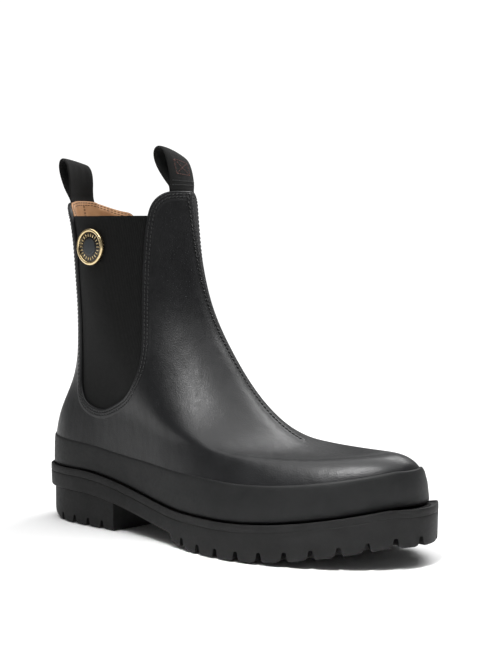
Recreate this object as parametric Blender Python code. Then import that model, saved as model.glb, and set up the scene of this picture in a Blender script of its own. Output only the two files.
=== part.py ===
"""A right-foot chelsea boot as separate solids: lugged sole, upper, elastic sides, linings, pull tabs, badge.

Blender units are metres, +Z is up, the toe points along +X and the outer side of the foot along -Y. The ground
is z = 0 and the origin is under the middle of the boot. Sizes below are in millimetres.

The whole boot hangs on one surface, the outer face of the leather. It is a stack of rings. Ring 0 is the
feather line, where the leather meets the sole, and ring 1 is the collar. Each ring runs from the back profile
to the front profile, and a width table says how far it stands out on each side.
"""

import bmesh
import bpy
import numpy as np

MM = 0.001
MIDDLE_X = 6.0  # the profiles below are drawn about the middle of the last, which is this far behind the boot's

# Back and front profiles of the leather at each ring height: x, z.
PROFILE_RINGS = [0.0, 0.08, 0.16, 0.24, 0.34, 0.44, 0.54, 0.64, 0.74, 0.84, 1.0]
BACK_PROFILE = [
    (-140, 37), (-140, 48), (-139.5, 60), (-136, 74), (-127, 92), (-121.5, 110),
    (-120, 128), (-119, 146), (-119, 164), (-120.5, 184), (-126, 212),
]
FRONT_PROFILE = [
    (148, 37), (148.5, 47), (146, 59.5), (131.5, 68), (99, 64.5), (61, 66.5),
    (30, 85), (4, 115), (-14, 144), (-24, 174.5), (-30.5, 219),
]

# Half-widths at eight stations from the back seam to the toe, one row for each ring height.
WIDTH_STATIONS = [0.0, 0.15, 0.3, 0.45, 0.6, 0.75, 0.9, 1.0]
WIDTH_RINGS = [0.0, 0.12, 0.24, 0.4, 0.6, 0.8, 1.0]
OUTER_WIDTHS = [
    (66, 57, 42, 41, 57, 61, 60, 60),
    (64, 56, 42, 42, 55, 59, 57, 57),
    (56, 50, 40, 41, 48, 49, 45, 43),
    (47, 43, 38, 39, 45, 45, 39, 36),
    (39, 38, 37, 38, 38, 35, 32, 31),
    (37, 37, 37, 37, 36, 34, 32, 31),
    (37, 37, 37, 37, 37, 36, 35, 35),
]
INNER_WIDTHS = [
    (66, 56, 40, 28, 43.5, 61, 63, 60),
    (64, 55, 40, 32, 45, 61, 62, 60),
    (56, 50, 39, 37, 44, 51, 47, 44),
    (47, 43, 38, 38, 43, 45, 39, 36),
    (39, 38, 37, 38, 38, 35, 32, 31),
    (37, 37, 37, 37, 36, 34, 32, 31),
    (37, 37, 37, 37, 37, 36, 35, 35),
]
TOE_SWING = 8.0  # the toe's tip lies this far towards the inner side

# Sole heights.
HEEL_SEAT = 37.0
BALL_SEAT = 22.5
TOE_SPRING = 13.0
WAIST_THICKNESS = 15.0
HEEL_FRONT_X = -61.0
TREAD_REAR_X = 3.0
TREAD_DEPTH = 5.5
NOTCH_PITCH = 16.3

# Layers, as distances outwards from the leather's outer face.
RAND = (0.4, 2.0)
LEATHER = (-1.5, 0.0)
MIDDLE_LAYER = (-3.1, -1.9)
LINING = (-4.8, -3.7)
GAP = 0.4

# Elastic side window, seen from the side: x of its rear and front edge at each height.
WINDOW_HEIGHTS = [77.5, 80, 85, 93, 102, 112, 125, 144, 167, 195, 216]
WINDOW_REAR = [-78, -90, -97, -101, -102, -102.5, -102.5, -102, -101.5, -101, -101]
WINDOW_FRONT = [-78, -66, -52, -41, -35.5, -34, -35.5, -39, -41, -41.5, -40]
GORE_MARGIN = 6.0

# Top edge of the leather as a share of full ring height: rounded shoulders on both sides of the elastic.
COLLAR_STATIONS = [0.0, 0.12, 0.2, 0.26, 0.31, 0.5, 0.77, 0.8, 0.84, 0.9, 1.0]
COLLAR_HEIGHT = [1.0, 1.0, 0.988, 0.965, 0.942, 0.942, 0.942, 0.972, 0.99, 1.0, 1.0]
RING_ROWS = [0.0, 0.045, 0.1, 0.16, 0.22, 0.28, 0.34, 0.39, 0.43, 0.48, 0.53, 0.58, 0.64, 0.7, 0.76, 0.83, 0.9, 0.96, 1.0]
SIDE_STATIONS = np.linspace(0, 1, 25)

# Pull tabs.
TAB_WIDTH = 25.0
# The pull tabs sit a little off the middle, towards the inner side in front and the outer side behind.
FRONT_TAB_CENTRE, REAR_TAB_CENTRE = 2.5, -4.0
# How far the front seam runs towards the inner side, from the vamp up to the collar.
SEAM_RINGS, SEAM_DRIFT = [0.42, 0.5, 0.57, 0.7, 0.86, 1.0], [15.0, 12.5, 10.5, 9.0, 7.5, 4.5]
WEBBING = 1.3
FRONT_TAB_HINGE = (-32.5, 221.3)
REAR_TAB_HINGE = (-124.0, 214.3)

# Badge on the outer elastic.
BADGE_CENTRE = (-79.0, 183.0)
BADGE_RADIUS = 11.8
BADGE_BACK_Y = -35.6

BLACK_LEATHER = ("black_leather", (0.012, 0.012, 0.013), 0.42, 0.0)
RUBBER = ("black_rubber", (0.018, 0.018, 0.019), 0.75, 0.0)
ELASTIC = ("black_elastic", (0.012, 0.012, 0.012), 0.95, 0.0)
WEBBING_BLACK = ("black_webbing", (0.015, 0.015, 0.016), 0.9, 0.0)
TAN_LEATHER = ("tan_leather", (0.48, 0.27, 0.13), 0.6, 0.0)
GOLD = ("gold_metal", (0.83, 0.65, 0.33), 0.28, 1.0)
BADGE_BLACK = ("badge_enamel", (0.01, 0.01, 0.01), 0.3, 0.0)
STEEL = ("steel", (0.55, 0.55, 0.56), 0.35, 1.0)
BOARD = ("fibre_board", (0.42, 0.3, 0.2), 0.9, 0.0)
CORK = ("cork", (0.5, 0.33, 0.19), 0.95, 0.0)
STIFFENER = ("stiffener", (0.75, 0.72, 0.65), 0.8, 0.0)


def clear_scene():
    for item in list(bpy.data.objects):
        bpy.data.objects.remove(item, do_unlink=True)


def material(look):
    name, colour, roughness, metallic = look
    made = bpy.data.materials.get(name)
    if made is None:
        made = bpy.data.materials.new(name)
        made.use_nodes = True
        shader = made.node_tree.nodes["Principled BSDF"]
        shader.inputs["Base Color"].default_value = (*colour, 1)
        shader.inputs["Roughness"].default_value = roughness
        shader.inputs["Metallic"].default_value = metallic
        made.diffuse_color = (*colour, 1)
    return made


def add_object(name, points, faces, look, pivot=(0.0, 0.0, 0.0)):
    """An object from points in millimetres, about a pivot that becomes its origin. Its faces are turned outwards."""
    pivot = np.array(pivot, float)
    placed = (np.asarray(points, float) - pivot) * MM
    mesh = bpy.data.meshes.new(name)
    mesh.from_pydata([tuple(point) for point in placed], [], faces)
    shape = bmesh.new()
    shape.from_mesh(mesh)
    bmesh.ops.remove_doubles(shape, verts=shape.verts, dist=1e-6)
    bmesh.ops.dissolve_degenerate(shape, edges=shape.edges, dist=1e-6)
    bmesh.ops.triangulate(shape, faces=shape.faces)
    bmesh.ops.recalc_face_normals(shape, faces=shape.faces)
    shape.to_mesh(mesh)
    shape.free()
    mesh.shade_smooth()
    mesh.set_sharp_from_angle(angle=np.radians(35))
    made = bpy.data.objects.new(name, mesh)
    made.location = (pivot - (MIDDLE_X, 0, 0)) * MM
    mesh.materials.append(material(look))
    bpy.context.scene.collection.objects.link(made)
    return made


def cut(target, cutter):
    """Takes the cutter's shape away from the target, and keeps the cutter as a hidden helper."""
    cutter.hide_render = True
    cutter.display_type = "WIRE"
    step = target.modifiers.new("cut " + cutter.name, "BOOLEAN")
    step.operation = "DIFFERENCE"
    step.object = cutter
    step.solver = "EXACT"


def spline(keys, values, flat_ends):
    """A cubic spline through the keys, level at its ends or natural, as a function of one number or an array."""
    keys = np.asarray(keys, float)
    values = np.asarray(values, float)
    count, span = len(keys), np.diff(keys)
    matrix = np.zeros((count, count))
    right = np.zeros_like(values)
    for i in range(1, count - 1):
        matrix[i, i - 1 : i + 2] = span[i - 1], 2 * (span[i - 1] + span[i]), span[i]
        right[i] = 6 * ((values[i + 1] - values[i]) / span[i] - (values[i] - values[i - 1]) / span[i - 1])
    if flat_ends:
        matrix[0, :2] = 2 * span[0], span[0]
        right[0] = 6 * (values[1] - values[0]) / span[0]
        matrix[-1, -2:] = span[-1], 2 * span[-1]
        right[-1] = -6 * (values[-1] - values[-2]) / span[-1]
    else:
        matrix[0, 0] = matrix[-1, -1] = 1
    bend = np.linalg.solve(matrix, right.reshape(count, -1)).reshape(values.shape)

    def at(x):
        x = np.clip(x, keys[0], keys[-1])
        i = np.clip(np.searchsorted(keys, x) - 1, 0, count - 2)
        shape = np.shape(x) + (1,) * (values.ndim - 1)
        ahead = np.reshape(keys[i + 1] - x, shape)
        behind = np.reshape(x - keys[i], shape)
        wide = np.reshape(span[i], shape)
        curve = (bend[i] * ahead**3 + bend[i + 1] * behind**3) / (6 * wide)
        line = (values[i] / wide - bend[i] * wide / 6) * ahead
        return curve + line + (values[i + 1] / wide - bend[i + 1] * wide / 6) * behind

    return at


def smoothstep(x, start, end):
    share = np.clip((x - start) / (end - start), 0, 1)
    return share * share * (3 - 2 * share)


back_profile = spline(PROFILE_RINGS, BACK_PROFILE, False)
front_profile = spline(PROFILE_RINGS, FRONT_PROFILE, False)
FINE = np.linspace(0, 1, 201)
side_widths = {
    side: spline(WIDTH_RINGS, spline(WIDTH_STATIONS, np.array(rows, float).T, True)(FINE).T, False)
    for side, rows in ((-1, OUTER_WIDTHS), (1, INNER_WIDTHS))
}


def seat_height(x):
    """Height of the sole's top face: a level heel seat, a slope through the waist, and toe spring."""
    slope = smoothstep(x, -95, 15)
    return HEEL_SEAT + (BALL_SEAT - HEEL_SEAT) * slope + TOE_SPRING * np.clip((x - 45) / 100, 0, 1) ** 2


def tread_height(x):
    """Height of the forepart's tread: flat under the ball, and lifted at both ends."""
    return TOE_SPRING * np.clip((x - 45) / 100, 0, 1) ** 2 + 4 * np.clip((30 - x) / 27, 0, 1) ** 2


def skin(around, ring):
    """The leather's outer face. around is 0 at the back, 1 at the front by the outer side, and 2 at the back again."""
    around, ring = np.broadcast_arrays(np.mod(around, 2.0), np.asarray(ring, float))
    station = np.where(around <= 1, around, 2 - around)
    back, front = back_profile(ring), front_profile(ring)
    along = (1 - np.cos(np.pi * station)) / 2
    x = back[..., 0] + (front[..., 0] - back[..., 0]) * along
    dip = 1 + 0.8 * (1 - smoothstep(ring, 0, 0.7))
    z = front[..., 1] + (back[..., 1] - front[..., 1]) * np.maximum(1 - along, 0) ** dip
    z = z + (seat_height(x) - HEEL_SEAT) * (1 - smoothstep(ring, 0.1, 0.52))
    place = station * 200
    low = np.clip(place.astype(int), 0, 199)
    width = 0
    for side in (-1, 1):
        table = side_widths[side](ring)
        below = np.take_along_axis(table, low[..., None], -1)[..., 0]
        above = np.take_along_axis(table, low[..., None] + 1, -1)[..., 0]
        chosen = (around <= 1) == (side < 0)
        width = width + np.where(chosen, side * (below + (above - below) * (place - low)), 0)
    swing = TOE_SWING * along**3 * np.clip(1 - ring / 0.4, 0, 1) ** 2
    return np.stack([x, swing + width * np.sin(np.pi * station), z], -1)


def outward(around, ring):
    """Unit normal of the leather's outer face."""
    step = 1e-3
    low, high = np.clip(ring - step, 0, 1), np.clip(ring + step, 0, 1)
    across = skin(around + step, ring) - skin(around - step, ring)
    up = skin(around, high) - skin(around, low)
    normal = np.cross(across, up)
    return normal / np.linalg.norm(normal, axis=-1, keepdims=True)


def off_skin(around, ring, distance):
    """A point at a distance outwards from the leather's outer face."""
    distance = np.broadcast_to(distance, np.broadcast(around, ring).shape)
    return skin(around, ring) + outward(around, ring) * distance[..., None]


def collar_share(around):
    station = np.where(np.mod(around, 2.0) <= 1, np.mod(around, 2.0), 2 - np.mod(around, 2.0))
    return np.interp(station, COLLAR_STATIONS, COLLAR_HEIGHT)


def trimmed(around, row):
    """Ring height of a row once the collar's shoulders have been cut: only the rows near the top come down."""
    start = 0.83
    top = start + (collar_share(around) - start) * (row - start) / (1 - start)
    return np.where(row <= start, row, top)


def ring_at_height(around, height):
    """Ring height at which the leather stands this far above the sole."""
    rings = np.linspace(0, 0.5, 101)
    around, height = np.broadcast_arrays(around, height)
    found = np.empty(around.shape)
    for place in np.ndindex(around.shape):
        line = skin(np.full(101, around[place]), rings)
        found[place] = np.interp(height[place], line[:, 2] - line[0, 2], rings)
    return found


def station_at_x(ring, wanted_x):
    """Station, from 0 at the back to 1 at the front, where a ring reaches x. wanted_x is a function of height."""
    station = np.full(np.shape(ring), 0.4)
    for _ in range(8):
        z = skin(station, ring)[..., 2]
        back, front = back_profile(ring)[..., 0], front_profile(ring)[..., 0]
        along = np.clip((wanted_x(z) - back) / (front - back), 0, 1)
        station = np.arccos(1 - 2 * along) / np.pi
    return station


def window_edge(table, shift):
    return lambda z: np.interp(z, WINDOW_HEIGHTS, table) + shift


def sheet(name, outer, inner, look, closed_ring=False):
    """A solid between two grids of points, outer and inner, with walls round its free edges."""
    rows, columns = outer.shape[:2]
    points = np.concatenate([outer.reshape(-1, 3), inner.reshape(-1, 3)])
    offset = rows * columns
    faces = []
    spans = columns if closed_ring else columns - 1
    for i in range(rows - 1):
        for j in range(spans):
            k = (j + 1) % columns
            quad = (i * columns + j, i * columns + k, (i + 1) * columns + k, (i + 1) * columns + j)
            faces += [quad, tuple(offset + corner for corner in quad[::-1])]
    for i in (0, rows - 1):
        for j in range(spans):
            first, second = i * columns + j, i * columns + (j + 1) % columns
            faces.append((first, second, offset + second, offset + first))
    if not closed_ring:
        for j in (0, columns - 1):
            for i in range(rows - 1):
                first, second = i * columns + j, (i + 1) * columns + j
                faces.append((first, second, offset + second, offset + first))
    return add_object(name, points, faces, look)


def both_ways(half):
    """Stations along both sides, from the outer side through the back or front to the inner side."""
    return np.concatenate([-half[::-1], half[1:]])


def foot_outline(stations, side, offset):
    """Plan points x, y of the feather line moved outwards by an offset, on the outer (-1) or inner (1) side."""
    around = np.where(side < 0, stations, 2 - stations)
    step = 1e-3
    run = (skin(around + step, 0.0) - skin(around - step, 0.0))[..., :2]
    normal = np.stack([run[..., 1], -run[..., 0]], -1)
    normal /= np.linalg.norm(normal, axis=-1, keepdims=True)
    return skin(around, 0.0)[..., :2] + normal * np.broadcast_to(offset, around.shape)[..., None]


def sole_overhang(stations):
    """How far the sole stands out from the feather line: a little all round, and more at the toe."""
    along = (1 - np.cos(np.pi * stations)) / 2
    return 3 + 4 * along**4


def slab(name, stations, offset, top, bottom, look):
    """A plate between the outer and inner outline at each station, with heights that are functions of x."""
    points, faces, count = [], [], len(stations)
    for side in (-1, 1):
        plan = foot_outline(stations, side, offset)
        for height in (top, bottom):
            points += [(x, y, height(x)) for x, y in plan]
    rows = [range(k * count, (k + 1) * count) for k in (0, 1, 3, 2)]
    for first, second in zip(rows, rows[1:] + rows[:1]):
        for i in range(count - 1):
            faces.append((first[i], second[i], second[i + 1], first[i + 1]))
    for i in (0, count - 1):
        faces.append(tuple(row[i] for row in rows))
    return add_object(name, points, faces, look)


def prisms(name, shapes, look=RUBBER):
    """Upright prisms in one mesh. Each is a list of corners x, y, and the heights of its foot and its top."""
    points, faces = [], []
    for corners, low, high in shapes:
        start, count = len(points), len(corners)
        points += [(x, y, low) for x, y in corners] + [(x, y, high) for x, y in corners]
        faces.append(tuple(range(start, start + count)))
        faces.append(tuple(range(start + count, start + 2 * count)))
        for i in range(count):
            k = (i + 1) % count
            faces.append((start + i, start + k, start + count + k, start + count + i))
    return add_object(name, points, faces, look)


def round_corners(centre, radius, count=12):
    turn = np.arange(count) * 2 * np.pi / count
    return [(centre[0] + radius * np.cos(a), centre[1] + radius * np.sin(a)) for a in turn]


def outline_length(stations, side, offset):
    plan = foot_outline(stations, side, offset)
    steps = np.hypot(*np.diff(plan, axis=0).T)
    return np.concatenate([[0], np.cumsum(steps)])


def notch(station, side, offset, inside, width, low, high):
    """A cutter across the sole's edge: a wedge-sided slot, wider at its mouth, square to the outline."""
    step = 0.004
    ends = foot_outline(np.array([station - step, station + step]), side, offset)
    run = ends[1] - ends[0]
    run /= np.linalg.norm(run)
    inwards = np.array([-run[1], run[0]]) * -side
    middle = ends.mean(axis=0)
    corners = [
        middle - inwards * 4 - run * width * 0.6,
        middle - inwards * 4 + run * width * 0.6,
        middle + inwards * inside + run * width * 0.45,
        middle + inwards * inside - run * width * 0.45,
    ]
    return [tuple(corner) for corner in corners], low, high


def edge_notches(first, last, pitch, side, offset, inside, height):
    """Notches at an even pitch along the outline between two stations."""
    stations = np.linspace(0.0, 0.999, 400)
    length = outline_length(stations, side, offset)
    begin, end = np.interp([first, last], stations, length)
    places = np.interp(np.arange(begin, end, pitch), length, stations)
    shapes = []
    for station in places:
        x = foot_outline(np.array([station]), side, offset)[0, 0]
        shapes.append(notch(station, side, offset, inside, 4.4, height(x) - 4, height(x) + TREAD_DEPTH))
    return shapes


def station_of_feather_x(x):
    along = (x - BACK_PROFILE[0][0]) / (FRONT_PROFILE[0][0] - BACK_PROFILE[0][0])
    return np.arccos(1 - 2 * along) / np.pi


def channel(name, stations, depth_in, width, height, look=RUBBER):
    """A cutter for a groove that follows the outline at a distance inside it, closed across its ends."""
    points, faces = [], []
    loops = []
    for inset in (depth_in, depth_in + width):
        outer_side = foot_outline(stations, -1, -inset)
        inner_side = foot_outline(stations, 1, -inset)[::-1]
        if inset > depth_in:
            outer_side[0, 0] += width
            inner_side[-1, 0] += width
        loops.append(np.concatenate([outer_side, inner_side]))
    count = len(loops[0])
    for loop in loops:
        points += [(x, y, height(x) - 4) for x, y in loop] + [(x, y, height(x) + TREAD_DEPTH) for x, y in loop]
    for i in range(count):
        k = (i + 1) % count
        rings = [0, count, 3 * count, 2 * count]
        for a, b in zip(rings, rings[1:] + rings[:1]):
            faces.append((a + i, a + k, b + k, b + i))
    return add_object(name, points, faces, look)


def build_outsole():
    """Rubber sole: a plate under the waist and heel, and a thick lugged forepart."""
    step = [station_of_feather_x(TREAD_REAR_X - 0.5), station_of_feather_x(TREAD_REAR_X + 0.5)]
    stations = np.array(sorted([*SIDE_STATIONS, *step]))
    tread_start = station_of_feather_x(TREAD_REAR_X)

    def under(x):
        return seat_height(x) - WAIST_THICKNESS if x < TREAD_REAR_X else tread_height(x)

    sole = slab("outsole", stations, sole_overhang(stations), lambda x: seat_height(x) - 0.4, under, RUBBER)
    side_notches = []
    for side in (-1, 1):
        begin = station_of_feather_x(14.6 if side < 0 else 18)
        side_notches += edge_notches(begin, 0.985, NOTCH_PITCH, side, 5, 12.5, tread_height)
    cut(sole, prisms("tread_edge_cutter", side_notches))
    inner = np.linspace(tread_start + 0.02, 1, 15)
    cut(sole, channel("tread_channel_cutter", inner, 9.5, 3.6, tread_height))
    bars = []
    for x in np.arange(22, 132, 14.0):
        half = 0.5 * (140 - x) ** 0.5 + 26 if x < 100 else 2.2 * (150 - x) ** 0.65
        base, tip, width = x, x + 7, 3.4
        for side in (-1, 1):
            corners = [
                (tip, side * 1.5), (tip + width, side * 1.5),
                (base + width, side * half), (base, side * half),
            ]
            shifted = [(cx, cy + TOE_SWING * ((cx + 140) / 288) ** 3) for cx, cy in corners]
            bars.append((shifted, tread_height(x) - 4, tread_height(x) + TREAD_DEPTH))
    cut(sole, prisms("tread_bar_cutter", bars))
    return sole


def build_heel():
    """Heel block, set in a little under the sole's edge, with its own lugs."""
    front = station_of_feather_x(HEEL_FRONT_X)
    stations = np.linspace(0, front, 13)
    top = lambda x: seat_height(x) - WAIST_THICKNESS - GAP
    heel = slab("heel_block", stations, 0.2, top, lambda x: 0.0 * x, RUBBER)
    shapes = []
    for side in (-1, 1):
        begin = station_of_feather_x(-114)
        shapes += edge_notches(begin, front - 0.02, 14.0, side, 0.2, 11, lambda x: 0.0)
    cut(heel, prisms("heel_edge_cutter", shapes))
    slots = [([(x, -12), (x + 3.5, -12), (x + 3.5, 12), (x, 12)], -4, TREAD_DEPTH) for x in (-120, -105, -90, -76)]
    cut(heel, prisms("heel_slot_cutter", slots))
    return heel


NAIL_PLACES = [(-118, 0), (-112, -15), (-112, 15), (-90, -16), (-90, 16)]


def nail_holes(target, low, high):
    shapes = [(round_corners(place, 1.4, 10), low, high) for place in NAIL_PLACES]
    cut(target, prisms("nail_hole_cutter_" + target.name, shapes))


def build_nails():
    """Heel nails, driven from inside through the board and the sole into the heel block."""
    for index, (x, y) in enumerate(NAIL_PLACES):
        profile = [(0.0, 8.0), (1.0, 12.0), (1.0, 41.4), (2.8, 41.4), (2.8, 42.2)]
        points = [(x, y, 8.0)]
        faces = []
        count = 10
        for radius, z in profile[1:]:
            points += [(cx, cy, z) for cx, cy in round_corners((x, y), radius, count)]
        for i in range(count):
            faces.append((0, 1 + i, 1 + (i + 1) % count))
            for level in range(3):
                a, b = 1 + level * count, 1 + (level + 1) * count
                k = (i + 1) % count
                faces.append((a + i, a + k, b + k, b + i))
        faces.append(tuple(range(1 + 3 * count, 1 + 4 * count)))
        add_object(f"heel_nail_{index + 1}", points, faces, STEEL)


def build_bottom():
    """What lies between the sole and the foot: filler, shank, insole board and sock liner."""
    filler = np.linspace(station_of_feather_x(-12), 0.9, 12)
    slab("bottom_filler", filler, -13.5, lambda x: seat_height(x) + 1.4, lambda x: seat_height(x) + 0.1, CORK)
    shank_x = np.linspace(-104, -18, 10)
    outline = [(x, -7.0) for x in shank_x] + [(x, 7.0) for x in shank_x[::-1]]
    points, faces, count = [], [], len(shank_x)
    for lift in (0.1, 1.3):
        points += [(x, y, seat_height(x) + lift) for x, y in outline]
    whole = 2 * count
    for i in range(count - 1):
        back = whole - 1 - i
        faces.append((i, i + 1, back - 1, back))
        faces.append((whole + i, whole + i + 1, whole + back - 1, whole + back))
    for i in range(whole):
        k = (i + 1) % whole
        faces.append((i, k, whole + k, whole + i))
    add_object("shank", points, faces, STEEL)
    board = slab(
        "insole_board", SIDE_STATIONS, -5.2, lambda x: seat_height(x) + 4.0, lambda x: seat_height(x) + 1.9, BOARD
    )
    nail_holes(board, 30, 50)
    slab(
        "sock_liner", SIDE_STATIONS, -7.5, lambda x: seat_height(x) + 8.6, lambda x: seat_height(x) + 5.6, TAN_LEATHER
    )


def ring_grid(around, rows, distance):
    columns, lines = np.meshgrid(around, rows)
    return off_skin(columns, trimmed(columns, lines), distance)


def build_upper():
    """One piece of leather round the whole foot, with its lasting edge turned in under the insole."""
    around = np.concatenate([SIDE_STATIONS, 2 - SIDE_STATIONS[-2:0:-1]])
    rows = np.array(RING_ROWS)
    outer = ring_grid(around, rows, LEATHER[1])
    inner = ring_grid(around, rows, LEATHER[0])
    side = np.where(around <= 1, -1, 1)
    station = np.where(around <= 1, around, 2 - around)
    margin = np.array([foot_outline(np.array([s]), k, -12.0)[0] for s, k in zip(station, side)])
    thick = LEATHER[1] - LEATHER[0]
    feather = np.array([foot_outline(np.array([s]), k, -thick)[0] for s, k in zip(station, side)])
    low = np.column_stack([margin, seat_height(margin[:, 0])])
    inner[0, :, :2] = feather
    inner[0, :, 2] = outer[0, :, 2] + thick
    outer = np.concatenate([low[None], outer])
    inner = np.concatenate([(low + (0, 0, thick))[None], inner])
    upper = sheet("upper", outer, inner, BLACK_LEATHER, closed_ring=True)
    for side, name in ((-1, "outer"), (1, "inner")):
        cut(upper, window_cutter(f"window_cutter_{name}", side))
    return upper


def window_cutter(name, side):
    rear = list(zip(WINDOW_REAR, WINDOW_HEIGHTS))
    front = list(zip(WINDOW_FRONT, WINDOW_HEIGHTS))
    outline = rear[:0:-1] + front
    points = [(x, side * y, z) for y in (12.0, 70.0) for x, z in outline]
    count = len(outline)
    faces = [tuple(range(count)), tuple(range(count, 2 * count))]
    for i in range(count):
        k = (i + 1) % count
        faces.append((i, k, count + k, count + i))
    return add_object(name, points, faces, BLACK_LEATHER)


def build_gores():
    """Elastic side panels. Their edges lie behind the leather's window edge."""
    rows = np.linspace(0.262, 1.0, 15)
    for side, name in ((-1, "outer"), (1, "inner")):
        rear = station_at_x(np.minimum(rows, 0.94), window_edge(WINDOW_REAR, -GORE_MARGIN))
        front = station_at_x(np.minimum(rows, 0.94), window_edge(WINDOW_FRONT, GORE_MARGIN))
        share = np.linspace(0, 1, 11)
        stations = rear[:, None] + (front - rear)[:, None] * share
        rings = trimmed(np.full_like(stations, 0.5), np.broadcast_to(rows[:, None], stations.shape))
        around = stations if side < 0 else 2 - stations
        outer = off_skin(around, rings, MIDDLE_LAYER[1])
        inner = off_skin(around, rings, MIDDLE_LAYER[0])
        gore = sheet(f"gore_{name}", outer, inner, ELASTIC)
        if side < 0:
            hole = tube("badge_hole_cutter", 2.0, -50.0, -20.0, 12)
            cut(gore, hole)


def tube(name, radius, near, far, count, look=GOLD):
    """A rod along Y through the badge's centre."""
    turn = np.arange(count) * 2 * np.pi / count
    x, z = BADGE_CENTRE
    points = [(x + radius * np.cos(a), y, z + radius * np.sin(a)) for y in (near, far) for a in turn]
    faces = [tuple(range(count)), tuple(range(count, 2 * count))]
    for i in range(count):
        k = (i + 1) % count
        faces.append((i, k, count + k, count + i))
    return add_object(name, points, faces, look)


def turned(name, profile, count, look):
    """A solid turned about the badge's axis. The profile is radius, y, and starts and ends on the axis."""
    turn = np.arange(count) * 2 * np.pi / count
    x, z = BADGE_CENTRE
    points = [(x, profile[0][1], z)]
    faces = []
    for radius, y in profile[1:-1]:
        points += [(x + radius * np.cos(a), y, z + radius * np.sin(a)) for a in turn]
    points.append((x, profile[-1][1], z))
    last, levels = len(points) - 1, len(profile) - 2
    for i in range(count):
        k = (i + 1) % count
        faces.append((0, 1 + i, 1 + k))
        faces.append((last, last - count + i, last - count + k))
        for level in range(levels - 1):
            a, b = 1 + level * count, 1 + (level + 1) * count
            faces.append((a + i, a + k, b + k, b + i))
    return add_object(name, points, faces, look)


def build_badge():
    """A round badge riveted to the outer elastic: a gold cup, a black dial, a dark centre boss and a washer inside."""
    back, radius = BADGE_BACK_Y, BADGE_RADIUS
    cup = [
        (0, back - 0.9), (radius - 1.9, back - 0.9), (radius - 1.9, back - 2.5), (radius - 0.5, back - 2.5),
        (radius, back - 2.0), (radius, back), (1.5, back), (1.5, back + 5.2), (0, back + 5.2),
    ]
    turned("badge_cup", cup, 32, GOLD)
    dial = [(0, back - 1.2), (radius - 2.3, back - 1.2), (radius - 2.3, back - 2.1), (0, back - 2.1)]
    turned("badge_dial", dial, 32, BADGE_BLACK)
    boss = [(0, back - 2.5), (5.2, back - 2.5), (5.4, back - 2.8), (4.9, back - 3.0), (0, back - 3.0)]
    turned("badge_boss", boss, 24, BADGE_BLACK)
    turn = np.arange(16) * 2 * np.pi / 16
    x, z = BADGE_CENTRE
    points, faces = [], []
    for y in (back + 3.4, back + 4.2):
        for size in (1.9, 5.0):
            points += [(x + size * np.cos(a), y, z + size * np.sin(a)) for a in turn]
    for i in range(16):
        k = (i + 1) % 16
        for a, b in ((0, 16), (16, 48), (48, 32), (32, 0)):
            faces.append((a + i, a + k, b + k, b + i))
    add_object("badge_washer", points, faces, STEEL)


def build_linings():
    """Tan leather linings behind and in front of the elastic. They meet below it, on each side."""
    rows = np.array(RING_ROWS[1:-1] + [0.99])
    meet = 0.345
    rear = station_at_x(rows, window_edge(WINDOW_REAR, 4))
    front = station_at_x(rows, window_edge(WINDOW_FRONT, -4))
    rear_edge = np.where(rows < 0.3, meet - 0.004, np.minimum(rear, meet - 0.004))
    front_edge = np.where(rows < 0.3, meet + 0.004, np.maximum(front, meet + 0.004))
    heel_share = both_ways(np.linspace(0, 1, 9))
    around = rear_edge[:, None] * heel_share
    lines = trimmed(around, rows[:, None] + 0 * around)
    sheet(
        "heel_lining",
        off_skin(around, lines, LINING[1]),
        off_skin(around, lines, LINING[0]),
        TAN_LEATHER,
    )
    vamp_share = both_ways(np.linspace(0, 1, 15))
    around = 1 + (1 - front_edge)[:, None] * vamp_share
    lines = trimmed(around, rows[:, None] + 0 * around)
    sheet(
        "vamp_lining",
        off_skin(around, lines, LINING[1]),
        off_skin(around, lines, LINING[0]),
        TAN_LEATHER,
    )


def build_stiffeners():
    """Heel counter and toe puff, hidden between the leather and the lining."""
    for name, middle, columns, top in (("heel_counter", 0.0, 8, 0.23), ("toe_puff", 1.0, 4, 0.3)):
        stations = both_ways(SIDE_STATIONS[: columns + 1])
        rows = [row for row in RING_ROWS[1:] if row < top]
        columns, lines = np.meshgrid(middle + stations, rows)
        outer = off_skin(columns, lines, MIDDLE_LAYER[1])
        inner = off_skin(columns, lines, MIDDLE_LAYER[0])
        sheet(name, outer, inner, STIFFENER)


def build_rand():
    """Rubber band round the leather, just above the sole."""
    around = np.concatenate([SIDE_STATIONS, 2 - SIDE_STATIONS[-2:0:-1]])
    station = np.where(around <= 1, around, 2 - around)
    along = (1 - np.cos(np.pi * station)) / 2
    height = np.interp(along, [0, 0.17, 0.3, 0.4, 0.7, 1], [20, 17.5, 18.5, 22, 22.5, 21])
    rows = [0.04, 0.35, 0.7, 1.0]
    rings = np.array([ring_at_height(around, height * row) for row in rows])
    outer = off_skin(around[None] + 0 * rings, rings, RAND[1])
    inner = off_skin(around[None] + 0 * rings, rings, RAND[0])
    sheet("rand", outer, inner, RUBBER, closed_ring=True)


def build_front_strip():
    """Narrow raised strip over the front seam, from the collar down to the vamp."""
    rows = np.array([row for row in RING_ROWS if row > 0.42])
    half = 0.5 * 7.5 / (np.pi * 34)
    columns, lines = np.meshgrid(1 + half * np.array([-1, -0.45, 0, 0.45, 1]), rows)
    columns = columns + np.interp(lines, SEAM_RINGS, SEAM_DRIFT) / (np.pi * 34)
    raised = np.array([1.0, 1.0, 1.6, 1.0, 1.0])[None] + 0 * lines
    outer = off_skin(columns, lines, raised)
    inner = off_skin(columns, lines, 0.4)
    sheet("front_seam_strip", outer, inner, BLACK_LEATHER)


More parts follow.
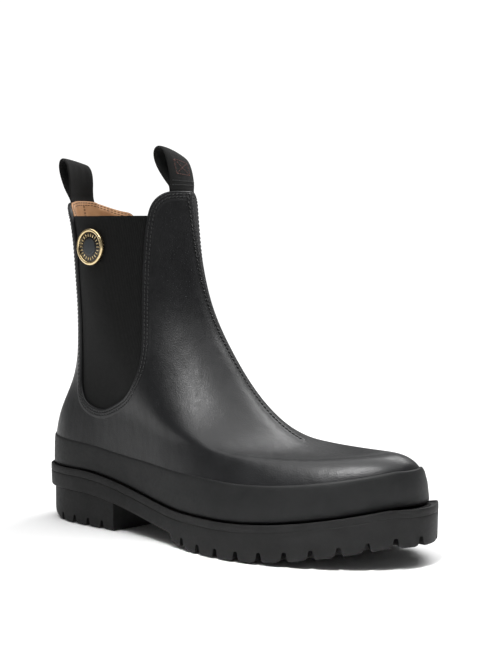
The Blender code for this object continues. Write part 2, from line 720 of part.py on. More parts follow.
def teardrop(hinge, tip, bulge, rows=9):
    """Side view of a webbing loop as two lists of points: outside and inside of the band, in step."""
    base = np.array(hinge, float)
    top = base + tip
    axis = top - base
    length = np.linalg.norm(axis)
    axis /= length
    cross = np.array([axis[1], -axis[0]])
    turn = np.linspace(0, 2 * np.pi, 2 * rows, endpoint=False)
    along = (1 - np.cos(turn)) / 2
    width = np.sin(turn) * (0.22 + 0.78 * along**0.9) * bulge
    outside = base + axis * (along * length)[:, None] + cross * width[:, None]
    start = 4.0 / length
    inner_along = start + (1 - start) * (1 - np.cos(turn)) / 2
    shrink = np.maximum(np.abs(width) - WEBBING * 1.05, 0.15) * np.sign(np.sin(turn) + 1e-9)
    shrink[0] = shrink[rows] = 0
    inside = base + axis * (inner_along * (length - WEBBING - 0.2))[:, None] + cross * shrink[:, None]
    return outside, inside


def build_tab(name, hinge, tip, bulge, centre):
    """A webbing loop that folds about a line across the boot, just above the collar."""
    outside, inside = teardrop(hinge, tip, bulge)
    count = len(outside)
    points, faces = [], []
    for y in (centre - TAB_WIDTH / 2, centre + TAB_WIDTH / 2):
        for loop in (outside, inside):
            points += [(x, y, z) for x, z in loop]
    for i in range(count):
        k = (i + 1) % count
        for a, b in ((0, count), (count, 3 * count), (3 * count, 2 * count), (2 * count, 0)):
            faces.append((a + i, a + k, b + k, b + i))
    add_object(name, points, faces, WEBBING_BLACK, pivot=(hinge[0], 0, hinge[1]))


def build_tab_tail(name, middle, low):
    """The tab's sewn-in end, between the leather and the lining."""
    columns, lines = np.meshgrid(middle + np.array([-1, -0.5, 0, 0.5, 1]) * 0.11, np.linspace(low, 1.0, 4))
    outer = off_skin(columns, lines, MIDDLE_LAYER[1])
    inner = off_skin(columns, lines, MIDDLE_LAYER[0])
    sheet(name, outer, inner, WEBBING_BLACK)


def build_boot():
    clear_scene()
    sole = build_outsole()
    heel = build_heel()
    nail_holes(sole, 5, 60)
    nail_holes(heel, 7, 60)
    build_nails()
    build_bottom()
    build_upper()
    build_rand()
    build_stiffeners()
    build_linings()
    build_gores()
    build_front_strip()
    build_badge()
    build_tab("front_pull_tab", FRONT_TAB_HINGE, (-14.0, 26.5), 7.5, FRONT_TAB_CENTRE)
    build_tab("rear_pull_tab", REAR_TAB_HINGE, (-5.0, 27.5), 6.5, REAR_TAB_CENTRE)
    build_tab_tail("front_tab_tail", 1.0215, 0.93)
    build_tab_tail("rear_tab_tail", 0.0344, 0.965)


build_boot()
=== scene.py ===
"""The looks of a right-foot chelsea boot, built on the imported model: leather, elastic, webbing, lining, sole, badge.

Every surface is laid on the same last as the model: a stack of rings from the feather line (ring 0) to the collar
(ring 1), with a station from 0 at the back to 1 at the front. Sizes are in millimetres until a mesh is made.
"""

import bmesh
import bpy
import numpy as np
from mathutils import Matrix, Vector


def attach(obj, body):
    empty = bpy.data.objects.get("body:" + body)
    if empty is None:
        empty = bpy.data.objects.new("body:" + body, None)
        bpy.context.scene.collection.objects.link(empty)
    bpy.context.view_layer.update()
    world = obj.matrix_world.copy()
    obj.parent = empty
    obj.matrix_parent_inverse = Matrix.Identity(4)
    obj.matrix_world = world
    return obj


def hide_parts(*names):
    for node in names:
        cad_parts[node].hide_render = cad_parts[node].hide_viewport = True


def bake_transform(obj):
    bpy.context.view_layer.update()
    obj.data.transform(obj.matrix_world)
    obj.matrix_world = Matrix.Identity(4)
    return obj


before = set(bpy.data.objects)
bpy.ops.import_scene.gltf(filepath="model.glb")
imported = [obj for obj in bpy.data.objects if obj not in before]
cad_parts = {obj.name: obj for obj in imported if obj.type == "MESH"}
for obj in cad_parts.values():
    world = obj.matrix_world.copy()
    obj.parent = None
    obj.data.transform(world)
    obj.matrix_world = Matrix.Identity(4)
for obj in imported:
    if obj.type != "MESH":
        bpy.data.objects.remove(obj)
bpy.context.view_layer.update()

# === The last ===
MM = 0.001
MIDDLE_X = 6.0  # the frame's origin, along the last
PROFILE_RINGS = [0.0, 0.08, 0.16, 0.24, 0.34, 0.44, 0.54, 0.64, 0.74, 0.84, 1.0]
BACK_PROFILE = [
    (-140, 37), (-140, 48), (-139.5, 60), (-136, 74), (-127, 92), (-121.5, 110),
    (-120, 128), (-119, 146), (-119, 164), (-120.5, 184), (-126, 212),
]
FRONT_PROFILE = [
    (148, 37), (148.5, 47), (146, 59.5), (131.5, 68), (99, 64.5), (61, 66.5),
    (30, 85), (4, 115), (-14, 144), (-24, 174.5), (-30.5, 219),
]
WIDTH_STATIONS = [0.0, 0.15, 0.3, 0.45, 0.6, 0.75, 0.9, 1.0]
WIDTH_RINGS = [0.0, 0.12, 0.24, 0.4, 0.6, 0.8, 1.0]
OUTER_WIDTHS = [
    (66, 57, 42, 41, 57, 61, 60, 60), (64, 56, 42, 42, 55, 59, 57, 57), (56, 50, 40, 41, 48, 49, 45, 43),
    (47, 43, 38, 39, 45, 45, 39, 36), (39, 38, 37, 38, 38, 35, 32, 31), (37, 37, 37, 37, 36, 34, 32, 31),
    (37, 37, 37, 37, 37, 36, 35, 35),
]
INNER_WIDTHS = [
    (66, 56, 40, 28, 43.5, 61, 63, 60), (64, 55, 40, 32, 45, 61, 62, 60), (56, 50, 39, 37, 44, 51, 47, 44),
    (47, 43, 38, 38, 43, 45, 39, 36), (39, 38, 37, 38, 38, 35, 32, 31), (37, 37, 37, 37, 36, 34, 32, 31),
    (37, 37, 37, 37, 37, 36, 35, 35),
]
TOE_SWING = 8.0
HEEL_SEAT, BALL_SEAT, TOE_SPRING, WAIST_THICKNESS = 37.0, 22.5, 13.0, 15.0
HEEL_FRONT_X, TREAD_REAR_X, NOTCH_PITCH = -61.0, 3.0, 16.3
WINDOW = [
    (-101, 189), (-101.5, 167), (-102, 144), (-102.5, 125), (-102.5, 112), (-102, 102), (-100.7, 93), (-96.5, 85.2),
    (-89, 80), (-78, 77.5), (-65.5, 80), (-52.5, 85.5), (-41.5, 93.5), (-35.8, 102.5), (-34, 112), (-35.5, 125),
    (-39, 144), (-41, 167), (-41.5, 190),
]
REAR_COLLAR = [(0.0, 1.0), (0.07, 1.0), (0.13, 0.998), (0.19, 0.99), (0.235, 0.976), (0.272, 0.958)]
INNER_REAR_COLLAR = [
    (0.0, 1.0), (0.05, 0.998), (0.10, 0.991), (0.15, 0.979), (0.20, 0.967), (0.25, 0.958), (0.272, 0.955),
]
FRONT_COLLAR = [
    (0.772, 0.945), (0.786, 0.962), (0.808, 0.978), (0.845, 0.9915), (0.895, 0.999), (0.95, 1.0), (1.0, 1.0),
]
GORE_TOP = 0.942
FRONT_TAB_HINGE, REAR_TAB_HINGE = (-32.5, 221.3), (-124.0, 214.3)
SEAM_RINGS, SEAM_DRIFT = [0.42, 0.5, 0.57, 0.7, 0.86, 1.0], [13.0, 10.8, 9.2, 8.0, 7.0, 4.5]
FRONT_TAB_CENTRE, REAR_TAB_CENTRE = 2.5, -4.0
TAB_WIDTH, WEBBING = 23.8, 1.3
BADGE_X, BADGE_Z, BADGE_RADIUS, BADGE_BACK_Y = -79.0, 183.0, 11.8, -35.6
TICKS = 22
FINE = 600


def spline(keys, values, flat_ends=False):
    """A cubic spline through the keys, as a function of one number or an array."""
    keys, values = np.asarray(keys, float), np.asarray(values, float)
    count, span = len(keys), np.diff(keys)
    matrix, right = np.zeros((count, count)), np.zeros_like(values)
    for i in range(1, count - 1):
        matrix[i, i - 1 : i + 2] = span[i - 1], 2 * (span[i - 1] + span[i]), span[i]
        right[i] = 6 * ((values[i + 1] - values[i]) / span[i] - (values[i] - values[i - 1]) / span[i - 1])
    if flat_ends:
        matrix[0, :2] = 2 * span[0], span[0]
        right[0] = 6 * (values[1] - values[0]) / span[0]
        matrix[-1, -2:] = span[-1], 2 * span[-1]
        right[-1] = -6 * (values[-1] - values[-2]) / span[-1]
    else:
        matrix[0, 0] = matrix[-1, -1] = 1
    bend = np.linalg.solve(matrix, right.reshape(count, -1)).reshape(values.shape)

    def at(x):
        x = np.clip(x, keys[0], keys[-1])
        i = np.clip(np.searchsorted(keys, x) - 1, 0, count - 2)
        shape = np.shape(x) + (1,) * (values.ndim - 1)
        ahead, behind = np.reshape(keys[i + 1] - x, shape), np.reshape(x - keys[i], shape)
        wide = np.reshape(span[i], shape)
        curve = (bend[i] * ahead**3 + bend[i + 1] * behind**3) / (6 * wide)
        line = (values[i] / wide - bend[i] * wide / 6) * ahead
        return curve + line + (values[i + 1] / wide - bend[i + 1] * wide / 6) * behind

    return at


def smoothstep(x, start, end):
    share = np.clip((x - start) / (end - start), 0, 1)
    return share * share * (3 - 2 * share)


back_profile = spline(PROFILE_RINGS, BACK_PROFILE)
front_profile = spline(PROFILE_RINGS, FRONT_PROFILE)
EVEN = np.linspace(0, 1, FINE + 1)
width_table = {
    side: spline(WIDTH_RINGS, spline(WIDTH_STATIONS, np.array(rows, float).T, True)(EVEN).T)(EVEN)
    for side, rows in ((-1, OUTER_WIDTHS), (1, INNER_WIDTHS))
}


def half_width(side, ring, station):
    r, s = np.clip(ring, 0, 1) * FINE, np.clip(station, 0, 1) * FINE
    i, j = np.clip(r.astype(int), 0, FINE - 1), np.clip(s.astype(int), 0, FINE - 1)
    u, v, table = r - i, s - j, width_table[side]
    low = table[i, j] * (1 - v) + table[i, j + 1] * v
    return low * (1 - u) + (table[i + 1, j] * (1 - v) + table[i + 1, j + 1] * v) * u


def seat_height(x):
    slope = smoothstep(x, -95, 15)
    return HEEL_SEAT + (BALL_SEAT - HEEL_SEAT) * slope + TOE_SPRING * np.clip((x - 45) / 100, 0, 1) ** 2


def tread_height(x):
    return TOE_SPRING * np.clip((x - 45) / 100, 0, 1) ** 2 + 4 * np.clip((30 - x) / 27, 0, 1) ** 2


def skin(around, ring):
    """The leather's outer face. around is 0 at the back, 1 at the front by the outer side, 2 at the back again."""
    around, ring = np.broadcast_arrays(np.mod(around, 2.0), np.clip(np.asarray(ring, float), 0, 1))
    station = np.where(around <= 1, around, 2 - around)
    back, front = back_profile(ring), front_profile(ring)
    along = (1 - np.cos(np.pi * station)) / 2
    x = back[..., 0] + (front[..., 0] - back[..., 0]) * along
    dip = 1 + 0.8 * (1 - smoothstep(ring, 0, 0.7))
    z = front[..., 1] + (back[..., 1] - front[..., 1]) * np.maximum(1 - along, 0) ** dip
    z = z + (seat_height(x) - HEEL_SEAT) * (1 - smoothstep(ring, 0.1, 0.52))
    width = np.where(around <= 1, -half_width(-1, ring, station), half_width(1, ring, station))
    swing = TOE_SWING * along**3 * np.clip(1 - ring / 0.4, 0, 1) ** 2
    return np.stack([x, swing + width * np.sin(np.pi * station), z], -1)


def unit(v):
    return v / np.maximum(np.linalg.norm(v, axis=-1, keepdims=True), 1e-12)


def outward(around, ring):
    step = 2e-3
    low, high = np.clip(ring - step, 0, 1), np.clip(ring + step, 0, 1)
    across = skin(around + step, ring) - skin(around - step, ring)
    return unit(np.cross(across, skin(around, high) - skin(around, low)))


def off_skin(around, ring, distance):
    distance = np.broadcast_to(distance, np.broadcast(around, ring).shape)
    return skin(around, ring) + outward(around, ring) * distance[..., None]


def settle(target, around, ring, times=7):
    """Moves around and ring until the skin there is as near as it gets to each target point."""
    for _ in range(times):
        h = 1e-3
        here = skin(around, ring)
        da = (skin(around + h, ring) - skin(around - h, ring)) / (2 * h)
        low, high = np.clip(ring - h, 0, 1), np.clip(ring + h, 0, 1)
        dr = (skin(around, high) - skin(around, low)) / (high - low)[..., None]
        miss = target - here
        aa, ar, rr = (da * da).sum(-1), (da * dr).sum(-1), (dr * dr).sum(-1)
        ma, mr = (miss * da).sum(-1), (miss * dr).sum(-1)
        det = np.maximum(aa * rr - ar * ar, 1e-9)
        around = around + np.clip((ma * rr - mr * ar) / det, -0.03, 0.03)
        ring = np.clip(ring + np.clip((mr * aa - ma * ar) / det, -0.03, 0.03), 0, 1)
    return around, ring


def side_view_place(x, z):
    """Station and ring on the outer side where the skin has this x and z."""
    station, ring = np.full(len(x), 0.5), np.clip((np.asarray(z) - 30) / 190, 0.1, 0.95)
    for _ in range(30):
        h = 1e-3
        here = skin(station, ring)
        ds = (skin(station + h, ring) - skin(station - h, ring)) / (2 * h)
        dr = (skin(station, ring + h) - skin(station, ring - h)) / (2 * h)
        ex, ez = x - here[:, 0], z - here[:, 2]
        det = ds[:, 0] * dr[:, 2] - dr[:, 0] * ds[:, 2]
        station = station + np.clip((ex * dr[:, 2] - ez * dr[:, 0]) / det, -0.05, 0.05)
        ring = np.clip(ring + np.clip((ez * ds[:, 0] - ex * ds[:, 2]) / det, -0.05, 0.05), 0.002, 0.998)
    return station, ring


def resampled(points, pitch):
    """Places along a polyline at an even pitch: fractional indices and the length."""
    steps = np.linalg.norm(np.diff(points, axis=0), axis=1)
    length = np.concatenate([[0], np.cumsum(steps)])
    count = max(2, int(round(length[-1] / pitch)) + 1)
    return np.interp(np.linspace(0, length[-1], count), length, np.arange(len(points))), length[-1]


EDGE_EASING_PASSES = 110


def leather_edge(rear_collar, pitch=0.7):
    """Station and ring of the leather's free edge on one side: rear collar, window, front collar."""
    window_x, window_z = np.array(WINDOW, float).T
    station, ring = side_view_place(window_x, window_z)
    keys = np.array(rear_collar + list(zip(station, ring)) + FRONT_COLLAR)
    chord = np.linalg.norm(np.diff(keys * (110, 220), axis=0), axis=1) ** 0.75
    place = np.concatenate([[0], np.cumsum(chord)])
    dense = spline(place, keys)(np.linspace(0, place[-1], 4000))
    dense[:, 1] = np.minimum(dense[:, 1], 1.0)
    dense[:, 0] = np.clip(dense[:, 0], 0, 1)
    where, _ = resampled(skin(dense[:, 0], dense[:, 1]), pitch)
    steps = np.arange(len(dense))
    line = np.stack([np.interp(where, steps, dense[:, k]) for k in (0, 1)], -1)
    # Ease out the last unevenness of the outline, more in the window than at the collar.
    for _ in range(EDGE_EASING_PASSES):
        eased = (line[:-2] + 2 * line[1:-1] + line[2:]) / 4
        share = np.clip((0.93 - line[1:-1, 1:]) / 0.1, 0.08, 1)
        line[1:-1] += (eased - line[1:-1]) * share
    return line[:, 0], line[:, 1]


EDGES = {-1: leather_edge(REAR_COLLAR), 1: leather_edge(INNER_REAR_COLLAR)}


def collar_line(side):
    station, ring = EDGES[side]
    order = np.argsort(station[ring > 0.93])
    return station[ring > 0.93][order], ring[ring > 0.93][order]


COLLARS = {side: collar_line(side) for side in EDGES}


def collar_ring(around):
    """Ring height of the leather's top edge, or of the elastic's between the panels."""
    around = np.mod(around, 2.0)
    station = np.where(around <= 1, around, 2 - around)
    ring = np.where(around <= 1, np.interp(station, *COLLARS[-1]), np.interp(station, *COLLARS[1]))
    return np.maximum(ring, GORE_TOP)


# === Mesh helpers ===
def grid_faces(rows, columns, wrap=False, flip=False):
    i, j = np.meshgrid(np.arange(rows - 1), np.arange(columns if wrap else columns - 1), indexing="ij")
    k = (j + 1) % columns
    quads = np.stack([i * columns + j, i * columns + k, (i + 1) * columns + k, (i + 1) * columns + j], -1)
    quads = quads.reshape(-1, 4)
    return quads[:, ::-1] if flip else quads


def joined(parts):
    """Several (points, faces) as one. Faces are lists, because they may differ in length."""
    points, faces, start = [], [], 0
    for p, f in parts:
        p = np.asarray(p, float).reshape(-1, 3)
        points.append(p)
        faces += [tuple(int(c) + start for c in face) for face in f]
        start += len(p)
    return np.concatenate(points), faces


def placed(name, data):
    """A new object of this data, linked to the scene."""
    made = bpy.data.objects.new(name, data)
    bpy.context.scene.collection.objects.link(made)
    return made


def piece(name, shape, look, body="boot", replaces=(), weld=0.0, closed=False, sharp=40, fields=None):
    """An object from (points in millimetres, faces), riding on a body. fields are named numbers kept at each point."""
    points, faces = shape
    points = np.asarray(points, float).reshape(-1, 3)
    mesh = bpy.data.meshes.new(name)
    mesh.from_pydata(((points - (MIDDLE_X, 0, 0)) * MM).tolist(), [], [tuple(map(int, f)) for f in faces])
    for key, values in (fields or {}).items():
        made = mesh.attributes.new(key, "FLOAT", "POINT")
        made.data.foreach_set("value", np.asarray(values, np.float32).reshape(-1))
    if weld or closed:
        edited = bmesh.new()
        edited.from_mesh(mesh)
        bmesh.ops.remove_doubles(edited, verts=edited.verts, dist=max(weld, 1e-4) * MM)
        bmesh.ops.dissolve_degenerate(edited, edges=edited.edges, dist=1e-7)
        if closed:
            bmesh.ops.recalc_face_normals(edited, faces=edited.faces)
        edited.to_mesh(mesh)
        edited.free()
    mesh.shade_smooth()
    if sharp:
        mesh.set_sharp_from_angle(angle=np.radians(sharp))
    mesh.materials.append(look)
    made = placed(name, mesh)
    if body:
        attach(made, body)
    if replaces:
        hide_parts(*replaces)
    return made


def shell(outer, inner, wrap=False):
    """Points and faces of a closed sheet between two grids of points."""
    rows, columns = outer.shape[:2]
    offset = rows * columns
    faces = [*grid_faces(rows, columns, wrap), *(offset + grid_faces(rows, columns, wrap, True))]
    spans = np.arange(columns if wrap else columns - 1)
    after = (spans + 1) % columns
    for row in (0, rows - 1):
        a, b = row * columns + spans, row * columns + after
        faces += list(np.stack([a, b, offset + b, offset + a], -1))
    if not wrap:
        for column in (0, columns - 1):
            a = np.arange(rows - 1) * columns + column
            b = a + columns
            faces += list(np.stack([a, b, offset + b, offset + a], -1))
    return np.concatenate([outer.reshape(-1, 3), inner.reshape(-1, 3)]), faces


def clip_above(points, quads, field):
    """Keeps the part of a quad mesh where the field is above 0, cut to the line where it is 0."""
    tris = np.concatenate([quads[:, [0, 1, 2]], quads[:, [0, 2, 3]]])
    inside = field[tris] > 0
    count = inside.sum(1)
    kept = [tris[count == 3]]
    new_points, new_faces, made = [], [], {}

    def crossing(a, b):
        key = (min(a, b), max(a, b))
        if key not in made:
            t = field[a] / (field[a] - field[b])
            made[key] = len(points) + len(new_points)
            new_points.append(points[a] + (points[b] - points[a]) * t)
        return made[key]

    for tri, flags in zip(tris[(count == 1) | (count == 2)], inside[(count == 1) | (count == 2)]):
        ring = []
        for i in range(3):
            a, b = int(tri[i]), int(tri[(i + 1) % 3])
            if flags[i]:
                ring.append(a)
            if flags[i] != flags[(i + 1) % 3]:
                ring.append(crossing(a, b))
        new_faces.append(ring)
    whole = np.concatenate([points, np.array(new_points).reshape(-1, 3)])
    faces = [tuple(f) for f in kept[0]] + [tuple(f) for f in new_faces]
    used = np.unique(np.concatenate([np.array(f) for f in faces]))
    index = np.full(len(whole), -1)
    index[used] = np.arange(len(used))
    return whole[used], [tuple(index[list(f)]) for f in faces]


# Along a stitch: place on its length, share of the thread's radius, and lift in radii.
STITCH_SHAPE = [
    (-0.5, 0.30, -0.75), (-0.42, 0.8, -0.2), (-0.2, 1.0, 0.25), (0.2, 1.0, 0.25), (0.42, 0.8, -0.2), (0.5, 0.30, -0.75),
]


def stitches(starts, ends, normals, radius, sides=6):
    """Points and faces of one thread stitch from each start to each end, bowed up out of the surface."""
    starts, ends, normals = (np.asarray(v, float) for v in (starts, ends, normals))
    run = ends - starts
    cross = unit(np.cross(normals, run))
    up = unit(np.cross(run, cross))
    turn = np.arange(sides) * 2 * np.pi / sides
    parts = []
    for along, size, lift in STITCH_SHAPE:
        centre = (starts + ends) / 2 + run * along + up * lift * radius
        ring = cross[:, None] * np.cos(turn)[None, :, None] + up[:, None] * np.sin(turn)[None, :, None]
        parts.append(centre[:, None] + ring * radius * size)
    points = np.stack(parts, 1)
    levels = len(STITCH_SHAPE)
    faces = [tuple(f) for f in grid_faces(levels, sides, True, True)]
    faces += [tuple(range(sides)), tuple(range((levels - 1) * sides, levels * sides))[::-1]]
    every = [tuple(c + n * levels * sides for c in f) for n in range(len(starts)) for f in faces]
    return points.reshape(-1, 3), every


def stitch_row(line, normals, pitch, length, radius, slant=0.0, lift=0.0):
    """Stitches along a line of surface points."""
    where, _ = resampled(line, pitch / 8)
    steps = np.arange(len(line))
    dense = np.stack([np.interp(where, steps, line[:, k]) for k in range(3)], -1)
    lined = unit(np.stack([np.interp(where, steps, normals[:, k]) for k in range(3)], -1))
    mids = np.arange(4, len(dense) - 4, 8)
    run = unit(dense[mids + 2] - dense[mids - 2])
    n = lined[mids]
    lean = np.cross(n, run)
    step = (run * np.cos(slant) + lean * np.sin(slant)) * length / 2
    middle = dense[mids] + n * lift
    return stitches(middle - step, middle + step, n, radius)


def baked(target, cutters):
    """The target's mesh with the cutters taken away, applied."""
    for cutter in cutters:
        step = target.modifiers.new("cut", "BOOLEAN")
        step.operation, step.solver, step.object = "DIFFERENCE", "EXACT", cutter
    bpy.context.view_layer.update()
    graph = bpy.context.evaluated_depsgraph_get()
    mesh = bpy.data.meshes.new_from_object(target.evaluated_get(graph))
    target.modifiers.clear()
    target.data = mesh
    mesh.shade_smooth()
    mesh.set_sharp_from_angle(angle=np.radians(32))
    for cutter in cutters:
        bpy.data.objects.remove(cutter, do_unlink=True)
    return target


# === Materials ===
class Look:
    """A node material with a Principled shader and short calls for the nodes that feed it."""

    def __init__(self, name, **constants):
        self.made = bpy.data.materials.new(name)
        self.made.use_nodes = True
        self.tree = self.made.node_tree
        self.shader = self.tree.nodes["Principled BSDF"]
        for key, value in constants.items():
            self.shader.inputs[key.replace("_", " ")].default_value = value
        coordinates = self.tree.nodes.new("ShaderNodeTexCoord")
        scaled = self.tree.nodes.new("ShaderNodeVectorMath")
        scaled.operation = "SCALE"
        scaled.inputs["Scale"].default_value = 1000
        self.link(coordinates.outputs["Object"], scaled.inputs[0])
        self.mm = scaled.outputs[0]

    def link(self, source, target):
        self.tree.links.new(source, target)

    def feed(self, target, value):
        if isinstance(value, bpy.types.NodeSocket):
            self.link(value, target)
        else:
            target.default_value = value

    def math(self, operation, a, b=0.0, c=0.0):
        node = self.tree.nodes.new("ShaderNodeMath")
        node.operation = operation
        for socket, value in zip(node.inputs, (a, b, c)):
            self.feed(socket, value)
        return node.outputs[0]

    def wave(self, value, period):
        """A sine from 0 to 1 that repeats at this period."""
        return self.math("MULTIPLY_ADD", self.math("SINE", self.math("MULTIPLY", value, 2 * np.pi / period)), 0.5, 0.5)

    def blend(self, first, share, second, other):
        """first times share plus second times other."""
        return self.math("ADD", self.math("MULTIPLY", first, share), self.math("MULTIPLY", second, other))

    def noise(self, scale, detail=3.0, stretch=None, rough=0.5):
        node = self.tree.nodes.new("ShaderNodeTexNoise")
        node.inputs["Scale"].default_value = scale
        node.inputs["Detail"].default_value = detail
        node.inputs["Roughness"].default_value = rough
        place = self.mm
        if stretch:
            mapped = self.tree.nodes.new("ShaderNodeVectorMath")
            mapped.operation = "MULTIPLY"
            mapped.inputs[1].default_value = stretch
            self.link(self.mm, mapped.inputs[0])
            place = mapped.outputs[0]
        self.link(place, node.inputs["Vector"])
        return node.outputs["Fac"]

    def cells(self, scale, feature="F1"):
        node = self.tree.nodes.new("ShaderNodeTexVoronoi")
        node.feature = feature
        node.inputs["Scale"].default_value = scale
        self.link(self.mm, node.inputs["Vector"])
        return node.outputs["Distance"]

    def field(self, name):
        node = self.tree.nodes.new("ShaderNodeAttribute")
        node.attribute_name = name
        return node.outputs["Fac"]

    def ramp(self, value, *stops):
        node = self.tree.nodes.new("ShaderNodeValToRGB")
        while len(node.color_ramp.elements) < len(stops):
            node.color_ramp.elements.new(0.5)
        for element, (place, colour) in zip(node.color_ramp.elements, stops):
            element.position = place
            element.color = (*colour, 1) if hasattr(colour, "__len__") else (colour, colour, colour, 1)
        self.link(value, node.inputs["Fac"])
        return node.outputs["Color"]

    def bump(self, *layers):
        """Bump from (height, strength, depth in millimetres) layers."""
        normal = None
        for height, strength, depth in layers:
            node = self.tree.nodes.new("ShaderNodeBump")
            node.inputs["Strength"].default_value = strength
            node.inputs["Distance"].default_value = depth * 0.001
            self.link(height, node.inputs["Height"])
            if normal is not None:
                self.link(normal, node.inputs["Normal"])
            normal = node.outputs["Normal"]
        self.link(normal, self.shader.inputs["Normal"])
        return self

    def colour(self, value):
        self.link(value, self.shader.inputs["Base Color"])
        return self

    def rough(self, value):
        self.link(value, self.shader.inputs["Roughness"])
        return self


def black_leather(name, rough_low, rough_high):
    look = Look(name, Specular_IOR_Level=0.32)
    look.colour(look.ramp(look.noise(0.06, 4), (0.3, (0.0060, 0.0062, 0.0068)), (0.75, (0.0105, 0.0108, 0.0116))))
    look.rough(look.ramp(look.noise(0.35, 5), (0.3, rough_low), (0.75, rough_high)))
    return look.bump(
        (look.noise(0.04, 2, stretch=(1.6, 1.6, 0.8)), 0.5, 1.2),
        (look.noise(0.13, 2), 0.14, 0.3),
        (look.cells(1.3), 0.45, 0.13),
        (look.noise(2.6, 4), 0.3, 0.12),
    ).made


LEATHER = black_leather("upper_leather", 0.33, 0.43)
EDGE_LEATHER = black_leather("edge_leather", 0.38, 0.5)


def make_rubber(name, dark, light, roughness):
    look = Look(name, Specular_IOR_Level=0.2)
    look.colour(look.ramp(look.noise(0.09, 5), (0.3, dark), (0.75, light)))
    look.rough(look.ramp(look.noise(0.5, 4), (0.3, roughness - 0.06), (0.75, roughness + 0.06)))
    return look.bump((look.noise(4.5, 3), 0.35, 0.06), (look.noise(0.12, 2), 0.2, 0.3)).made


RUBBER = make_rubber("sole_rubber", (0.0075, 0.0075, 0.0075), (0.0125, 0.0125, 0.0125), 0.62)
RAND_RUBBER = make_rubber("rand_rubber", (0.0085, 0.0088, 0.009), (0.0135, 0.0138, 0.014), 0.55)


def make_elastic():
    look = Look("gore_elastic", Specular_IOR_Level=0.1, Sheen_Weight=0.03, Sheen_Roughness=0.5)
    rib, knit = look.wave(look.field("across"), 1.15), look.wave(look.field("up"), 0.62)
    both = look.blend(rib, 0.72, knit, 0.28)
    # The colour follows the ribs and the knit, as the bump does. The lighter rib tops are a painted sheen and the
    # darker hollows between them are painted shade. The noise mixed in is the yarn's own uneven tone.
    shade = look.blend(both, 0.6, look.noise(0.5, 4), 0.4)
    look.colour(look.ramp(shade, (0.1, (0.0030, 0.0031, 0.0031)), (0.9, (0.0150, 0.0153, 0.0150))))
    look.rough(look.ramp(look.noise(1.2, 3), (0.2, 0.82), (0.8, 0.98)))
    return look.bump((both, 0.9, 0.16), (look.noise(0.05, 2), 0.3, 0.8), (look.noise(5, 2), 0.3, 0.06)).made


ELASTIC = make_elastic()


def make_webbing():
    look = Look("tab_webbing", Specular_IOR_Level=0.14, Sheen_Weight=0.06, Sheen_Roughness=0.45)
    across, along = look.field("across"), look.field("up")
    # Herringbone: the diagonal's direction changes every 3.1 mm across the tape.
    zig = look.math("PINGPONG", across, 3.1)
    twill = look.wave(look.math("ADD", zig, look.math("MULTIPLY", along, 0.9)), 0.95)
    both = look.blend(twill, 0.7, look.wave(along, 0.8), 0.3)
    # The colour follows the weave, as the bump does. The lighter ridges are a painted sheen and the darker hollows are
    # painted shade. The noise mixed in is the tape's own uneven tone.
    shade = look.blend(both, 0.55, look.noise(0.8, 4), 0.45)
    look.colour(look.ramp(shade, (0.1, (0.0035, 0.0035, 0.0036)), (0.9, (0.024, 0.0238, 0.023))))
    look.rough(look.ramp(look.noise(1.5, 3), (0.2, 0.72), (0.8, 0.9)))
    return look.bump((both, 1.0, 0.22), (look.noise(3, 2), 0.4, 0.08)).made


WEBBING_LOOK = make_webbing()


def make_tan():
    look = Look("lining_leather", Specular_IOR_Level=0.4)
    shades = (0.25, (0.50, 0.245, 0.108)), (0.55, (0.65, 0.345, 0.163)), (0.85, (0.75, 0.43, 0.22))
    look.colour(look.ramp(look.noise(0.12, 6, rough=0.6), *shades))
    look.rough(look.ramp(look.noise(0.8, 4), (0.3, 0.5), (0.75, 0.68)))
    layers = (look.cells(1.6), 0.35, 0.08), (look.noise(0.1, 3), 0.3, 0.5), (look.noise(3.5, 3), 0.3, 0.06)
    return look.bump(*layers).made


TAN = make_tan()


def make_thread(name, dark, light):
    look = Look(name, Specular_IOR_Level=0.35)
    look.colour(look.ramp(look.noise(1.6, 3), (0.25, dark), (0.8, light)))
    look.rough(look.ramp(look.noise(2.2, 2), (0.2, 0.42), (0.8, 0.62)))
    return look.bump((look.noise(6, 2, stretch=(1, 1, 2.5)), 0.6, 0.08)).made


# Black thread, coloured lighter than the leather. The lift is a painted sheen that stands for the glints on the
# stitches. The noise in it is the thread's own uneven tone.
THREAD = make_thread("black_thread", (0.016, 0.016, 0.016), (0.042, 0.042, 0.042))
TAN_THREAD = make_thread("lining_thread", (0.10, 0.05, 0.025), (0.2, 0.11, 0.06))
RED_THREAD = make_thread("tab_thread", (0.075, 0.028, 0.022), (0.17, 0.07, 0.056))


def make_metal(name, dark, light, low, high, brushed=False):
    look = Look(name, Metallic=1.0)
    stretch = (0.3, 3, 3) if brushed else None
    look.colour(look.ramp(look.noise(0.4, 4), (0.25, dark), (0.8, light)))
    look.rough(look.ramp(look.noise(1.4, 5, stretch=stretch), (0.25, low), (0.8, high)))
    return look.bump((look.noise(2.5, 4, stretch=stretch), 0.12, 0.04)).made


GOLD = make_metal("badge_gold", (0.72, 0.54, 0.27), (0.92, 0.76, 0.47), 0.16, 0.32)
STEEL = make_metal("plain_steel", (0.42, 0.42, 0.43), (0.62, 0.62, 0.63), 0.25, 0.45, brushed=True)


def make_enamel(name, dark, light, low, high):
    look = Look(name, Specular_IOR_Level=0.5)
    look.colour(look.ramp(look.noise(0.5, 4), (0.2, dark), (0.8, light)))
    look.rough(look.ramp(look.noise(1.8, 4), (0.2, low), (0.8, high)))
    return look.bump((look.noise(4, 3), 0.15, 0.03)).made


ENAMEL = make_enamel("badge_enamel_look", (0.004, 0.004, 0.004), (0.010, 0.009, 0.008), 0.22, 0.36)
SLATE = make_enamel("badge_centre_look", (0.014, 0.018, 0.022), (0.028, 0.034, 0.040), 0.3, 0.45)


